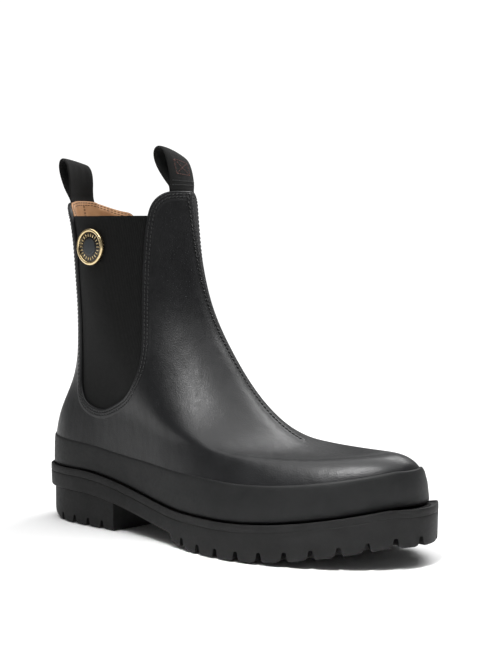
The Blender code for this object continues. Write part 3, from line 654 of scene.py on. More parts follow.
def make_board(name, dark, mid, light, scale):
    look = Look(name, Specular_IOR_Level=0.2)
    grains = look.cells(scale)
    shade = look.blend(grains, 0.6, look.noise(scale * 0.6, 5), 0.5)
    look.colour(look.ramp(shade, (0.2, dark), (0.5, mid), (0.85, light)))
    look.rough(look.ramp(look.noise(scale, 3), (0.3, 0.8), (0.75, 0.95)))
    return look.bump((grains, 0.5, 0.3)).made


CORK = make_board("filler_cork", (0.16, 0.085, 0.04), (0.42, 0.26, 0.14), (0.6, 0.42, 0.26), 0.55)
BOARD = make_board("insole_fibre", (0.26, 0.17, 0.1), (0.40, 0.29, 0.19), (0.5, 0.38, 0.27), 1.6)
STIFFENER = make_board("stiffener_sheet", (0.58, 0.55, 0.48), (0.70, 0.67, 0.60), (0.78, 0.76, 0.70), 1.1)


# === Upper ===
# Across the leather's free edge: distance in from the edge, and height off the skin. The edge is folded over, so it
# stands a little proud, and two rows of stitching pull it down.
EDGE_PROFILE = [
    (0.30, -2.0), (0.08, -1.75), (0.0, -1.35), (0.0, -0.85), (0.06, -0.42), (0.22, -0.08), (0.45, 0.12), (0.8, 0.25),
    (1.2, 0.31), (1.55, 0.28), (1.8, 0.15), (2.0, 0.08), (2.2, 0.15), (2.5, 0.28), (3.0, 0.32), (3.5, 0.27),
    (3.75, 0.14), (3.95, 0.07), (4.15, 0.13), (4.45, 0.21), (4.9, 0.19), (5.5, 0.09), (6.1, 0.025), (6.8, -0.06),
]


def edge_frame(side):
    """Points along the leather's free edge on one side, with the skin's normal and the way into the leather."""
    station, ring = EDGES[side]
    around = station if side < 0 else 2 - station
    line = skin(around, ring)
    run = np.gradient(line, axis=0)
    run[[0, -1]] *= (0, 1, 0)
    normal = outward(around, ring)
    inwards = unit(np.cross(normal, unit(run)))
    if side < 0:
        inwards = -inwards
    # The rear centre must look down into the leather.
    if inwards[0, 2] > 0:
        inwards = -inwards
    return around, ring, line, normal, inwards


def edge_grid(side, distances, heights):
    """Points and normals of a strip along the leather's free edge, from each row's way in and height off the skin."""
    around, ring, line, _, inwards = edge_frame(side)
    target = line[:, None] + inwards[:, None] * np.asarray(distances)[None, :, None]
    a = np.repeat(around[:, None], len(distances), 1)
    r = np.repeat(ring[:, None], len(distances), 1)
    middle_a, middle_r = settle(target, a, r)
    middle_a[0], middle_a[-1] = a[0], a[-1]
    return off_skin(middle_a, middle_r, np.asarray(heights)[None, :]), outward(middle_a, middle_r)


def build_upper():
    """Leather skin cut along its free edges, with a folded edge and two rows of stitches."""
    columns = np.linspace(0, 2, 480, endpoint=False)
    rows = np.concatenate([np.linspace(0, 0.12, 10, endpoint=False), np.linspace(0.12, 1.0, 170)])
    a, r = np.meshgrid(columns, rows)
    points = skin(a, r).reshape(-1, 3)
    lines = [edge_frame(side) for side in (-1, 1)]
    edge = np.concatenate([line for _, _, line, _, _ in lines])
    inwards = np.concatenate([into for _, _, _, _, into in lines])
    field = np.full(len(points), 50.0)
    near = np.nonzero(r.reshape(-1) > 0.15)[0]
    for start in range(0, len(near), 2000):
        some = near[start : start + 2000]
        gap = points[some][:, None] - edge[None]
        square = (gap**2).sum(-1)
        k = square.argmin(1)
        way = (gap[np.arange(len(some)), k] * inwards[k]).sum(-1)
        far = np.sqrt(square[np.arange(len(some)), k])
        field[some] = np.where(far < 9, way, np.sign(way) * far)
    body, faces = clip_above(points, grid_faces(len(rows), len(columns), True), field - 6.0)
    parts = [(body, faces)]
    distances, heights = np.array(EDGE_PROFILE).T
    thread = []
    for side in (-1, 1):
        grid, normal = edge_grid(side, distances, heights)
        quads = grid_faces(*grid.shape[:2])
        first = np.cross(grid[5, 9] - grid[4, 9], grid[4, 10] - grid[4, 9])
        parts.append((grid, quads if first @ normal[4, 9] > 0 else quads[:, ::-1]))
        for row in (11, 17):
            thread.append(stitch_row(grid[:, row], normal[:, row], 2.7, 2.05, 0.36, 0.12, 0.16))
    piece("upper_outer", joined(parts), LEATHER, replaces=["upper"], sharp=0)
    piece("edge_stitching", joined(thread), THREAD, sharp=0)


def build_front_seam():
    """Raised strip over the front seam: a round bead between two rows of slanting stitches."""
    rings = np.linspace(0.424, 0.9985, 260)
    width = np.pi * half_width(-1, rings, np.ones_like(rings))
    drift = spline(SEAM_RINGS, SEAM_DRIFT)(rings)
    across = np.array([-4.4, -3.9, -3.4, -2.9, -2.45, -2.1, -1.8, -1.5, -1.15, -0.75, -0.35, 0.0])
    height = np.array([-0.12, 0.06, 0.2, 0.30, 0.32, 0.18, 0.10, 0.2, 0.5, 0.76, 0.88, 0.92])
    across = np.concatenate([across, -across[-2::-1]])
    height = np.concatenate([height, height[-2::-1]])
    # The strip's lower end dies into the leather, and its upper end turns over the collar.
    low_end = smoothstep(np.arange(260), 0, 4)[:, None]
    top_end = smoothstep(259 - np.arange(260), 0, 3)[:, None]
    narrow = 1 - 0.12 * (1 - smoothstep(rings, 0.43, 0.6))[:, None]
    a = 1 + (across[None] * narrow + drift[:, None]) / width[:, None]
    h = -0.3 + (height[None] + 0.3) * low_end
    h = -0.6 + (h + 0.6) * top_end
    grid = off_skin(a, rings[:, None] + 0 * a, h)
    strip = (grid, grid_faces(*grid.shape[:2]))
    piece("front_seam", strip, EDGE_LEATHER, replaces=["front_seam_strip"], sharp=0)
    thread = []
    for w, slant in ((-1.85, 0.5), (1.85, -0.5)):
        aw = 1 + (w * narrow[:, 0] + drift) / width
        line = off_skin(aw, rings, 0.30)[6:-4]
        thread.append(stitch_row(line, outward(aw, rings)[6:-4], 2.9, 2.35, 0.46, slant, 0.2))
    piece("front_seam_stitching", joined(thread), THREAD, sharp=0)


def ring_at_height(around, heights):
    """Rings at which the leather stands at these heights above the feather line, for each place around."""
    rings = np.linspace(0, 0.45, 181)
    a, r = np.meshgrid(around, rings)
    z = skin(a, r)[..., 2]
    z = z - z[0]
    return np.stack([np.interp(heights[:, k], z[:, k], rings) for k in range(len(around))], 1)


def rand_height(around):
    station = np.where(around <= 1, around, 2 - around)
    along = (1 - np.cos(np.pi * station)) / 2
    keys = spline([0, 0.17, 0.3, 0.4, 0.7, 1], [20, 17.5, 18.5, 22, 22.5, 21])
    return keys(along), along


def build_rand():
    """Band of rubber round the foot of the upper."""
    around = np.linspace(0, 2, 520, endpoint=False)
    height, along = rand_height(around)
    thick = 0.75 + 0.75 * smoothstep(along, 0.45, 0.8) + 0.1 * (1 - smoothstep(along, 0.02, 0.2))
    # Up the band: height from the feather line, or how far below the top edge, and the share of its thickness.
    share = [
        (0.0, None, -0.2), (0.45, None, 0.5), (1.0, None, 0.88), (1.9, None, 1.0), (5.0, None, 1.0), (9, None, 1.0),
        (12, None, 1.0), (0, -3.2, 1.0), (0, -1.6, 0.98), (0, -0.7, 0.9), (0, -0.25, 0.72), (0, -0.05, 0.45),
        (0, 0.0, 0.1), (0, 0.0, -0.3),
    ]
    levels, offs = [], []
    for low, below, out in share:
        levels.append(height + below if below is not None else np.full_like(height, low))
        offs.append(out * thick if out > 0 else np.full_like(thick, out))
    rings = ring_at_height(around, np.array(levels))
    grid = off_skin(around[None] + 0 * rings, rings, np.array(offs))
    band = (grid, grid_faces(*grid.shape[:2], True))
    piece("rand_band", band, RAND_RUBBER, replaces=["rand"], sharp=0)


WINDOW_HEIGHTS = [77.5, 80, 85, 93, 102, 112, 125, 144, 167, 195, 216]


def window_line(rows, table, shift):
    """x of a line given at the window's heights and then shifted, with the last's back, front and height, by row."""
    height = skin(np.full_like(rows, 0.5), rows)[:, 2]
    x = np.interp(height, WINDOW_HEIGHTS, table) + shift
    back, front = back_profile(rows)[:, 0], front_profile(rows)[:, 0]
    return x, back, front, height


def build_gores():
    """The two elastic panels. Each runs on behind the leather, past the window's edge."""
    rows = np.concatenate([np.linspace(0.235, GORE_TOP - 0.012, 110), GORE_TOP - np.array([0.009, 0.005, 0.002, 0.0])])
    count = 66
    share = np.linspace(0, 1, count)
    for side, name in ((-1, "outer"), (1, "inner")):
        rear_table = [-101, -102, -102, -102, -102, -102.5, -102.5, -102, -101.5, -101, -101]
        front_table = [-33, -33, -33, -33, -33.5, -34, -35.5, -39, -41, -41.5, -40]
        stations = []
        for table, shift in ((rear_table, -5.5), (front_table, 5.5)):
            x, back, front, _ = window_line(rows, table, shift)
            stations.append(np.arccos(1 - 2 * np.clip((x - back) / (front - back), 0, 1)) / np.pi)
        station = stations[0][:, None] + (stations[1] - stations[0])[:, None] * share
        around = station if side < 0 else 2 - station
        ring = rows[:, None] + 0 * around
        hem = np.array([0] * 110 + [0.04, 0.12, 0.3, 0.55])[:, None]
        outer = off_skin(around, ring, -1.9 - hem)
        inner = off_skin(around, ring, -3.1 + hem)
        across = np.cumsum(np.linalg.norm(np.diff(outer, axis=1, prepend=outer[:, :1]), axis=2), axis=1)
        across = across - across[:, count // 2][:, None]
        up = np.cumsum(np.linalg.norm(np.diff(outer, axis=0, prepend=outer[:1]), axis=2), axis=0)
        fields = {"across": np.concatenate([across, across]), "up": np.concatenate([up, up])}
        piece(f"elastic_{name}", shell(outer, inner), ELASTIC, replaces=[f"gore_{name}"],
              closed=True, fields=fields)


# === Linings ===
def build_linings():
    """Rear and front lining. Each leans out to the leather at the collar, except where a pull tab's root is between."""
    rows = np.linspace(0.03, 1.0, 120)
    rear_table = [-78, -90, -97, -101, -102, -102.5, -102.5, -102, -101.5, -101, -101]
    front_table = [-78, -66, -52, -41, -35.5, -34, -35.5, -39, -41, -41.5, -40]
    meet = 0.345
    edges = []
    for table, shift in ((rear_table, 4.0), (front_table, -4.0)):
        x, back, front, height = window_line(rows, table, shift)
        edges.append(np.arccos(1 - 2 * np.clip((x - back) / (front - back), 0.001, 0.999)) / np.pi)
    low = height < 79
    rear_edge = np.where(low, meet - 0.002, np.minimum(edges[0], meet - 0.002))
    front_edge = np.where(low, meet + 0.002, np.maximum(edges[1], meet + 0.002))
    thread = []
    for name, middle, half, count in (("heel", 0.0, rear_edge, 90), ("vamp", 1.0, 1 - front_edge, 150)):
        share = np.linspace(-1, 1, count + 1)
        around = middle + half[:, None] * share
        top = collar_ring(around)
        ring = rows[:, None] * (top - 0.0005) + 0 * around
        below = (top - ring) * 235
        sideways = (around - middle) * np.pi * 35
        side_gap = np.abs(-sideways - REAR_TAB_CENTRE if name == "heel" else sideways - FRONT_TAB_CENTRE)
        clear_tab = smoothstep(side_gap, 12.5, 15.5)
        lean = (1.75 * clear_tab + 0.35 * (1 - clear_tab)) * (1 - smoothstep(below, 0.5, 7))
        lean = np.maximum(lean, 0.5 * smoothstep(np.abs(share), 0.93, 1.0)[None])
        roll = 0.5 * (1 - smoothstep(below, 0, 0.9))
        inner = off_skin(around, ring, -4.8 + lean + roll)
        outer = off_skin(around, ring, -3.7 + lean - roll)
        piece(f"{name}_lining_skin", shell(outer, inner), TAN, replaces=[f"{name}_lining"],
              closed=True)
        for depth in (1.9, 4.2):
            r_line = top[-1] - depth / 235
            lean_line = (1.75 * clear_tab[-1] + 0.35 * (1 - clear_tab[-1])) * (1 - smoothstep(depth, 0.5, 7))
            line = off_skin(around[-1], r_line, -4.8 + lean_line)
            inward = -outward(around[-1], r_line)
            thread.append(stitch_row(line[2:-2], inward[2:-2], 2.5, 1.9, 0.24, 0.1, 0.02))
        if name == "heel":
            r_seam = np.linspace(0.55, 0.985, 160)
            for w in (-0.6, 0.6):
                a_seam = (4.5 + w) / (np.pi * 37) + 0 * r_seam
                line = off_skin(a_seam, r_seam, -4.8 + 0.35 * (1 - smoothstep((1 - r_seam) * 235, 0.5, 7)))
                thread.append(stitch_row(line, -outward(a_seam, r_seam), 2.2, 1.7, 0.2, 0.0, 0.0))
    piece("lining_stitching", joined(thread), TAN_THREAD, sharp=0)


# === Sole ===
def plan(around, offset):
    """Plan points of the feather line moved outwards by an offset."""
    step = 1e-3
    run = (skin(around + step, 0.0) - skin(around - step, 0.0))[..., :2]
    normal = unit(np.stack([run[..., 1], -run[..., 0]], -1))
    return skin(around, 0.0)[..., :2] + normal * np.broadcast_to(offset, around.shape)[..., None]


def overhang(around):
    station = np.where(around <= 1, around, 2 - around)
    along = (1 - np.cos(np.pi * station)) / 2
    return 3 + 4 * along**4


def station_of_x(x):
    along = (x - BACK_PROFILE[0][0]) / (FRONT_PROFILE[0][0] - BACK_PROFILE[0][0])
    return np.arccos(1 - 2 * along) / np.pi


def loft(around, levels):
    """A closed body from loops around the foot. Each level is (x, y, z) points at the same places around."""
    count = len(around)
    points = np.stack(levels)
    faces = [tuple(f) for f in grid_faces(len(levels), count, True)]
    half = count // 2
    for level, flip in ((0, False), (len(levels) - 1, True)):
        base = level * count
        for i in range(half):
            a, b = base + i, base + i + 1
            c, d = base + (count - i - 1) % count, base + (count - i) % count
            quad = (a, b, c, d)
            faces.append(quad[::-1] if flip else quad)
    return points.reshape(-1, 3), faces


def notch_prism(place, side, offset, inside, low, tall, wide=1.0):
    """A tapered slot across the sole's edge, with rounded lug corners at its foot."""
    step = 0.004
    around = np.array([place - step, place + step])
    around = around if side < 0 else 2 - around
    ends = plan(around, offset)
    run = unit(ends[1] - ends[0])
    middle = ends.mean(axis=0)
    ahead = plan(np.mean(around, keepdims=True), offset + 1)[0]
    out = unit(ahead - middle)
    outline = [
        (-1.25, tall - 0.5), (-0.7, tall), (0.7, tall), (1.25, tall - 0.5), (1.65, 3.0), (2.0, 1.7), (2.8, 0.65),
        (4.3, 0.0), (4.6, -4.0), (-4.6, -4.0), (-4.3, 0.0), (-2.8, 0.65), (-2.0, 1.7), (-1.65, 3.0),
    ]
    points = []
    for depth, spread in ((4.0, 1.12), (-inside, 0.85)):
        for u, z in outline:
            xy = middle + out * depth + run * u * wide * spread
            points.append((xy[0], xy[1], low + z))
    count = len(outline)
    faces = [tuple(range(count)), tuple(range(count, 2 * count))[::-1]]
    faces += [(i, (i + 1) % count, count + (i + 1) % count, count + i) for i in range(count)]
    return np.array(points), faces


def notch_places(first, last, pitch, side, offset):
    stations = np.linspace(0.0, 0.999, 600)
    line = plan(stations if side < 0 else 2 - stations, np.full(600, float(offset)))
    length = np.concatenate([[0], np.cumsum(np.hypot(*np.diff(line, axis=0).T))])
    begin, end = np.interp([first, last], stations, length)
    return np.interp(np.arange(begin, end, pitch), length, stations)


def prism(corners, low, high):
    count = len(corners)
    points = [(x, y, z) for z in (low, high) for x, y in corners]
    faces = [tuple(range(count))[::-1], tuple(range(count, 2 * count))]
    faces += [(i, (i + 1) % count, count + (i + 1) % count, count + i) for i in range(count)]
    return np.array(points, float), faces


def cutter(parts):
    """One body of all the parts, to be cut away from another."""
    return piece("cutter", joined(parts), RUBBER, body=None, closed=True, weld=0.0001, sharp=0)


def build_outsole():
    """Lugged sole unit with its arch and the tread's step, lofted in rings from the feather line down."""
    half = np.concatenate([np.linspace(0, 0.5, 60, endpoint=False), np.linspace(0.5, 1, 75)])
    step = [station_of_x(TREAD_REAR_X - 2.6), station_of_x(TREAD_REAR_X + 0.2), station_of_x(TREAD_REAR_X - 0.4)]
    half = np.array(sorted([*half, *step]))
    around = np.concatenate([half, 2 - half[-2:0:-1]])
    over = overhang(around)

    def level(offset, lift, from_top):
        xy = plan(around, over + offset)
        edge = plan(around, over)
        top = seat_height(edge[:, 0]) - 0.4
        rise = smoothstep(edge[:, 0], TREAD_REAR_X - 3.2, TREAD_REAR_X + 0.4)
        waist = seat_height(edge[:, 0]) - WAIST_THICKNESS
        bottom = waist + (tread_height(edge[:, 0]) - waist) * rise
        return np.column_stack([xy, (top if from_top else bottom) + lift])

    levels = [
        level(-7.5, -1.5, True), level(-1.75, -1.5, True), level(-1.6, -1.2, True), level(-1.5, -0.35, True),
        level(-1.3, -0.08, True), level(-0.95, 0.0, True), level(-0.45, -0.02, True), level(-0.15, -0.2, True),
        level(0.0, -0.6, True), level(0.05, -1.6, True), level(0.05, -3.9, True), level(-0.12, -4.35, True),
        level(-0.3, -4.6, True), level(-0.12, -4.85, True), level(0.0, -5.3, True), level(-0.1, -8.0, True),
        level(-0.25, 2.6, False), level(-0.35, 1.0, False), level(-0.6, 0.4, False), level(-1.1, 0.08, False),
        level(-1.9, 0.0, False), level(-7.0, 0.0, False), level(-16.0, 0.0, False),
    ]
    sole = piece("sole_unit", loft(around, levels[::-1]), RUBBER, closed=True, weld=0.001, sharp=0)
    parts = []
    for side in (-1, 1):
        first = station_of_x(14.6 if side < 0 else 18)
        for place in notch_places(first, 0.985, NOTCH_PITCH, side, 5):
            x = plan(np.array([place if side < 0 else 2 - place]), 5.0)[0, 0]
            parts.append(notch_prism(place, side, 5.0, 9.0, tread_height(x), 5.9))
    notches = cutter(parts)
    bars = []
    for x in np.arange(24, 132, 14.0):
        wide = 0.5 * (140 - x) ** 0.5 + 25 if x < 100 else 2.2 * (150 - x) ** 0.65
        for side in (-1, 1):
            corners = [(x + 7, side * 1.5), (x + 10.4, side * 1.5), (x + 3.4, side * wide), (x, side * wide)]
            shifted = [(cx, cy + TOE_SWING * ((cx + 140) / 288) ** 3) for cx, cy in corners]
            if side < 0:
                shifted = shifted[::-1]
            bars.append(prism(shifted, tread_height(x) - 4, tread_height(x + 8) + 5.2))
    return baked(sole, [notches, cutter(bars)])


def build_heel():
    """Heel block, lofted in rings from the seat down, with its notches and slots."""
    front = station_of_x(HEEL_FRONT_X)
    half = np.linspace(0, front, 60)
    around = np.concatenate([2 - half[:0:-1], half])
    base = plan(around, np.full(len(around), 0.2))
    rear = 1 - smoothstep(base[:, 0], -137, -105)
    top = seat_height(base[:, 0]) - WAIST_THICKNESS - 0.3
    rows = []
    for inset, z, share in (
        (3.0, None, 0.0), (0.3, None, 0.0), (0.0, None, 0.4), (0.0, None, 1.2), (0.0, 8.0, 0), (0.1, 6.0, 0),
        (0.35, 4.2, 0), (0.9, 2.6, 0), (1.7, 1.3, 0), (2.7, 0.45, 0), (3.8, 0.0, 0), (12.0, 0.0, 0),
    ):
        depth = inset * (0.22 + 0.95 * rear) if z is not None and inset < 12 else np.full(len(around), inset)
        height = top - share if z is None else np.full(len(around), z * 1.0)
        if z is not None and z < 8:
            height = height * (0.3 + 0.7 * rear)
        rows.append(np.column_stack([plan(around, 0.2 - depth), height]))
    points = np.stack(rows)
    levels, count = points.shape[:2]
    # Flatten the front face: every row ends on the same plane.
    points[:, [0, -1], 0] = HEEL_FRONT_X
    faces = [tuple(f) for f in grid_faces(levels, count, False, True)]
    for row in (0, levels - 1):
        for i in range(count // 2):
            a, b = row * count + i, row * count + i + 1
            c, d = row * count + count - 2 - i, row * count + count - 1 - i
            faces.append((a, b, c, d) if b != c else (a, b, d))
    for i in range(levels - 1):
        faces.append((i * count, (i + 1) * count, (i + 1) * count + count - 1, i * count + count - 1))
    heel = piece("heel_lift", (points, faces), RUBBER, closed=True, weld=0.001, sharp=0)
    parts = []
    for side in (-1, 1):
        for place in notch_places(station_of_x(-114), front - 0.02, 14.0, side, 0.2):
            parts.append(notch_prism(place, side, 0.2, 8.5, 0.0, 5.4, 0.82))
    slots = [prism([(x, -12), (x + 3.5, -12), (x + 3.5, 12), (x, 12)], -4, 5.5) for x in (-120, -105, -90, -76)]
    return baked(heel, [cutter(parts), cutter(slots)])


def build_welt():
    """Fine upright ribs on the sole's top edge, in the shadow under the rand."""
    stations = np.linspace(0, 2, 2400, endpoint=False)
    line = plan(stations, 1.15)
    line = np.column_stack([line, seat_height(line[:, 0]) - 1.9])
    where, _ = resampled(line, 1.9)
    steps = np.arange(len(line))
    dense = np.stack([np.interp(where, steps, line[:, k]) for k in range(3)], -1)[:-1]
    along = unit(np.roll(dense, -1, 0) - np.roll(dense, 1, 0))
    out = np.column_stack([along[:, 1], -along[:, 0], 0 * along[:, 0]])
    start, end = dense - out * 1.4 + (0, 0, 0.25), dense + out * 1.6 + (0, 0, 0.25)
    ribs = stitches(start, end, np.tile((0, 0, 1.0), (len(dense), 1)), 0.5)
    piece("welt_ribs", ribs, RUBBER, sharp=0)


# === Pull tabs ===
def tab_section(hinge, tip, bulge, front, rows=44):
    """Side view of the loop's middle line, from the outer root over the top to the inner root."""
    base = np.array(hinge, float)
    length = float(np.hypot(*tip))
    axis = np.array(tip) / length
    cross = np.array([axis[1], -axis[0]]) * (1 if front else -1)
    turn = np.linspace(0.0, 2 * np.pi, rows * 2 + 1)
    along = (1 - np.cos(turn)) / 2
    width = np.sin(turn) * (0.22 + 0.78 * along**0.9) * bulge
    middle = base + axis * (along * (length - 0.7))[:, None] + cross * width[:, None]
    # Both legs run down side by side below the hinge.
    keep = along > 0.02
    return middle[keep]


def build_tab(name, hinge, tip, bulge, front, nodes, root_ring, droop, centre, lean):
    """One pull tab: a strip of webbing folded into a loop, with both ends between leather and lining."""
    middle = tab_section(hinge, tip, bulge, front)
    # Root: follow the gap between leather and lining down from the collar.
    rings = np.linspace(0.998, root_ring, 9)
    root = off_skin(np.full(9, 1.0 if front else 0.0), rings, -2.55)[:, [0, 2]]
    side = np.array([1.0, 0.0]) if front else np.array([-1.0, 0.0])
    outer_root = root[::-1] + side * 0.33
    inner_root = root - side * 0.33
    path = np.concatenate([outer_root, middle, inner_root])
    # Even out the path.
    smooth = path.copy()
    for _ in range(6):
        smooth[1:-1] = (smooth[:-2] + 2 * smooth[1:-1] + smooth[2:]) / 4
    where, _ = resampled(np.column_stack([smooth, 0 * smooth[:, 0]]), 0.75)
    steps = np.arange(len(smooth))
    path = np.stack([np.interp(where, steps, smooth[:, k]) for k in (0, 1)], -1)
    run = unit(np.gradient(path, axis=0))
    normal = np.stack([-run[:, 1], run[:, 0]], -1)
    if (normal[len(path) // 2] @ (path[len(path) // 2] - hinge)) < 0:
        normal = -normal
    above = path[:, 1] - hinge[1]
    thick = np.interp(above, [-6, 0.5, 4], [0.30, 0.45, WEBBING / 2])
    ys = centre + np.linspace(-TAB_WIDTH / 2, TAB_WIDTH / 2, 31)
    # A woven edge is thinner and rounded. The tape also follows the collar's curve at its root.
    edge = np.sqrt(np.clip(1 - (np.abs(ys - centre) / (TAB_WIDTH / 2)) ** 14, 0.02, 1))
    curve = -(ys**2) / (2 * 34.0) * (1 if front else -1)
    keep = np.interp(above, [-2, 26], [1.0, 0.35])

    def settled(points):
        """The loop sinks and leans towards its far edge, as soft webbing does."""
        rise = np.maximum(points[..., 2] - hinge[1], 0)
        far = np.clip((points[..., 1] - centre + TAB_WIDTH / 2) / TAB_WIDTH, 0, 1)
        lowered = hinge[1] + rise * (1 - droop * far**1.5)
        z = np.where(points[..., 2] > hinge[1], lowered, points[..., 2])
        way = smoothstep(points[..., 2], hinge[1] - 3, hinge[1] + 8)
        return np.stack([points[..., 0] + lean * way, points[..., 1], z], -1)

    faces_of = []
    for sign in (1, -1):
        xz = path[:, None] + normal[:, None] * (thick[:, None] * edge[None] * sign)[..., None]
        x = xz[..., 0] + curve[None] * keep[:, None]
        faces_of.append(settled(np.stack([x, ys[None] + 0 * x, xz[..., 1]], -1)))
    length = np.concatenate([[0], np.cumsum(np.linalg.norm(np.diff(path, axis=0), axis=1))])
    across = np.tile(ys - centre + 20, (len(path), 1))
    along = np.tile(length[:, None], (1, len(ys)))
    fields = {"across": np.concatenate([across, across]), "up": np.concatenate([along, along])}
    made = piece(f"{name}_webbing", shell(*faces_of), WEBBING_LOOK, body=None, replaces=nodes,
                 closed=True, fields=fields)
    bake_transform(made)

    # Thread on the outer face: a box with a cross, and bars across the root. The design is a plain sewing pattern.
    def on_tape(distance, y):
        """A point on the outer face at a distance along the tape, and the face's normal there."""
        y = y + centre
        k = np.interp(distance, length, np.arange(len(path)))
        i = int(np.clip(k, 1, len(path) - 2))
        t = k - i
        px = path[i] * (1 - t) + path[i + 1] * t
        n2 = unit(normal[i] * (1 - t) + normal[i + 1] * t)
        h = np.interp(distance, length, thick)
        bow = -(y**2) / (2 * 34.0) * (1 if front else -1) * np.interp(distance, length, keep)
        at = px + n2 * h
        return settled(np.array([at[0] + bow, y, at[1]])), np.array([n2[0], 0, n2[1]])

    root_at = float(np.interp(0.0, above[: len(path) // 3], length[: len(path) // 3]))

    def run_of(a, b, pitch=2.3):
        count = max(1, int(round(np.hypot(a[0] - b[0], a[1] - b[1]) / pitch)))
        spots = [(a[0] + (b[0] - a[0]) * t, a[1] + (b[1] - a[1]) * t) for t in np.linspace(0, 1, count + 1)]
        pairs = []
        for p, q in zip(spots[:-1], spots[1:]):
            gap = 0.1
            p2 = (p[0] + (q[0] - p[0]) * gap, p[1] + (q[1] - p[1]) * gap)
            q2 = (q[0] + (p[0] - q[0]) * gap, q[1] + (p[1] - q[1]) * gap)
            pairs.append((on_tape(*p2), on_tape(*q2)))
        return pairs

    red, black = [], []
    low, high = (root_at + 9.0, root_at + 19.0) if front else (root_at + 12.0, root_at + 20.0)
    corners = [(low, -6.5), (low, 6.5), (high, 6.5), (high, -6.5)]
    for a, b in zip(corners, corners[1:] + corners[:1]):
        red += run_of(a, b)
    red += run_of((low, -6.5), (high, 6.5)) + run_of((low, 6.5), (high, -6.5))
    if front:
        for height in (1.6, 4.4):
            black += run_of((root_at + height, -11.0), (root_at + height, 11.0), 1.7)
    else:
        box = [(root_at + 1.5, -7), (root_at + 1.5, 7), (root_at + 5.0, 7), (root_at + 5.0, -7)]
        for a, b in zip(box, box[1:] + box[:1]):
            red += run_of(a, b, 1.9)
    for kind, pairs, look, radius in (("box", red, RED_THREAD, 0.23), ("bar", black, THREAD, 0.33)):
        if not pairs:
            continue
        starts = [p[0] for p, _ in pairs]
        ends = [q[0] for _, q in pairs]
        normals = [p[1] for p, _ in pairs]
        thread = stitches(starts, ends, normals, radius)
        made = piece(f"{name}_{kind}_stitching", thread, look, body=None, sharp=0)
        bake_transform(made)


# === Badge ===
def lathe(profile, count=72):
    """Points and faces of a solid turned about the badge's axis, from (radius, y) pairs that start and end on it."""
    turn = np.arange(count) * 2 * np.pi / count
    rings = np.array([[(BADGE_X + r * np.cos(a), y, BADGE_Z + r * np.sin(a)) for a in turn] for r, y in profile])
    return rings.reshape(-1, 3), [tuple(f) for f in grid_faces(len(profile), count, True)]


def build_badge():
    """Turned cup, dial and boss, with a ring of raised ticks in place of lettering."""
    back, radius = BADGE_BACK_Y, BADGE_RADIUS
    cup = [
        (0.001, back - 1.0), (radius - 2.1, back - 1.0), (radius - 2.05, back - 2.1), (radius - 1.95, back - 2.45),
        (radius - 1.7, back - 2.66), (radius - 1.2, back - 2.72), (radius - 0.7, back - 2.68),
        (radius - 0.3, back - 2.5), (radius - 0.08, back - 2.2), (radius, back - 1.8), (radius, back - 0.4),
        (radius - 0.1, back - 0.12), (radius - 0.35, back + 0.0), (1.5, back + 0.0), (1.5, back + 5.0),
        (1.35, back + 5.2), (0.001, back + 5.2),
    ]
    dial = [
        (0.001, back - 1.1), (radius - 2.2, back - 1.1), (radius - 2.2, back - 1.75), (radius - 2.4, back - 1.9),
        (0.001, back - 1.95),
    ]
    boss = [
        (0.001, back - 1.9), (5.25, back - 1.9), (5.25, back - 2.25), (5.05, back - 2.42), (4.7, back - 2.46),
        (0.001, back - 2.5),
    ]
    for name, profile, count, look, slot, node in (
        ("badge_gold_cup", cup, 96, GOLD, "gold_metal", "badge_cup"),
        ("badge_black_dial", dial, 96, ENAMEL, "badge_enamel", "badge_dial"),
        ("badge_centre", boss, 72, SLATE, "badge_enamel", "badge_boss"),
    ):
        piece(name, lathe(profile, count), look, replaces=[node], closed=True, weld=0.01, sharp=50)
    # A plain ring of evenly spaced raised ticks.
    parts = []
    outline = [
        (6.55, -0.2), (6.55, 0.2), (6.7, 0.3), (8.4, 0.38), (8.6, 0.26), (8.6, -0.26), (8.4, -0.38), (6.7, -0.3),
    ]
    for turn in np.arange(TICKS) * 2 * np.pi / TICKS:
        radial, tangent = np.array([np.cos(turn), np.sin(turn)]), np.array([-np.sin(turn), np.cos(turn)])
        points = []
        for y, scale in ((back - 1.85, 1.0), (back - 2.15, 1.0), (back - 2.25, 0.8)):
            for r, t in outline:
                mid = 7.55
                xz = radial * (mid + (r - mid) * (1 if scale == 1 else 0.93)) + tangent * t * scale
                points.append((BADGE_X + xz[0], y, BADGE_Z + xz[1]))
        count = len(outline)
        faces = [tuple(range(count)), tuple(range(2 * count, 3 * count))[::-1]]
        for level in (0, 1):
            faces += [(level * count + i, level * count + (i + 1) % count, (level + 1) * count + (i + 1) % count,
                       (level + 1) * count + i) for i in range(count)]
        parts.append((points, faces))
    piece("badge_ticks", joined(parts), GOLD, closed=True, sharp=35)


# === Studio ===
def area_light(name, place, look_at, size, power, spread=180):
    data = bpy.data.lights.new(name, "AREA")
    data.shape, data.size, data.size_y = "RECTANGLE", size[0], size[1]
    data.energy, data.spread = power, np.radians(spread)
    made = placed(name, data)
    made.location = place
    made.rotation_euler = (Vector(look_at) - Vector(place)).to_track_quat("-Z", "Y").to_euler()
    made.visible_camera = False


FOCAL_PIXELS, PHOTO_HEIGHT_PIXELS = 1644.0, 654.0


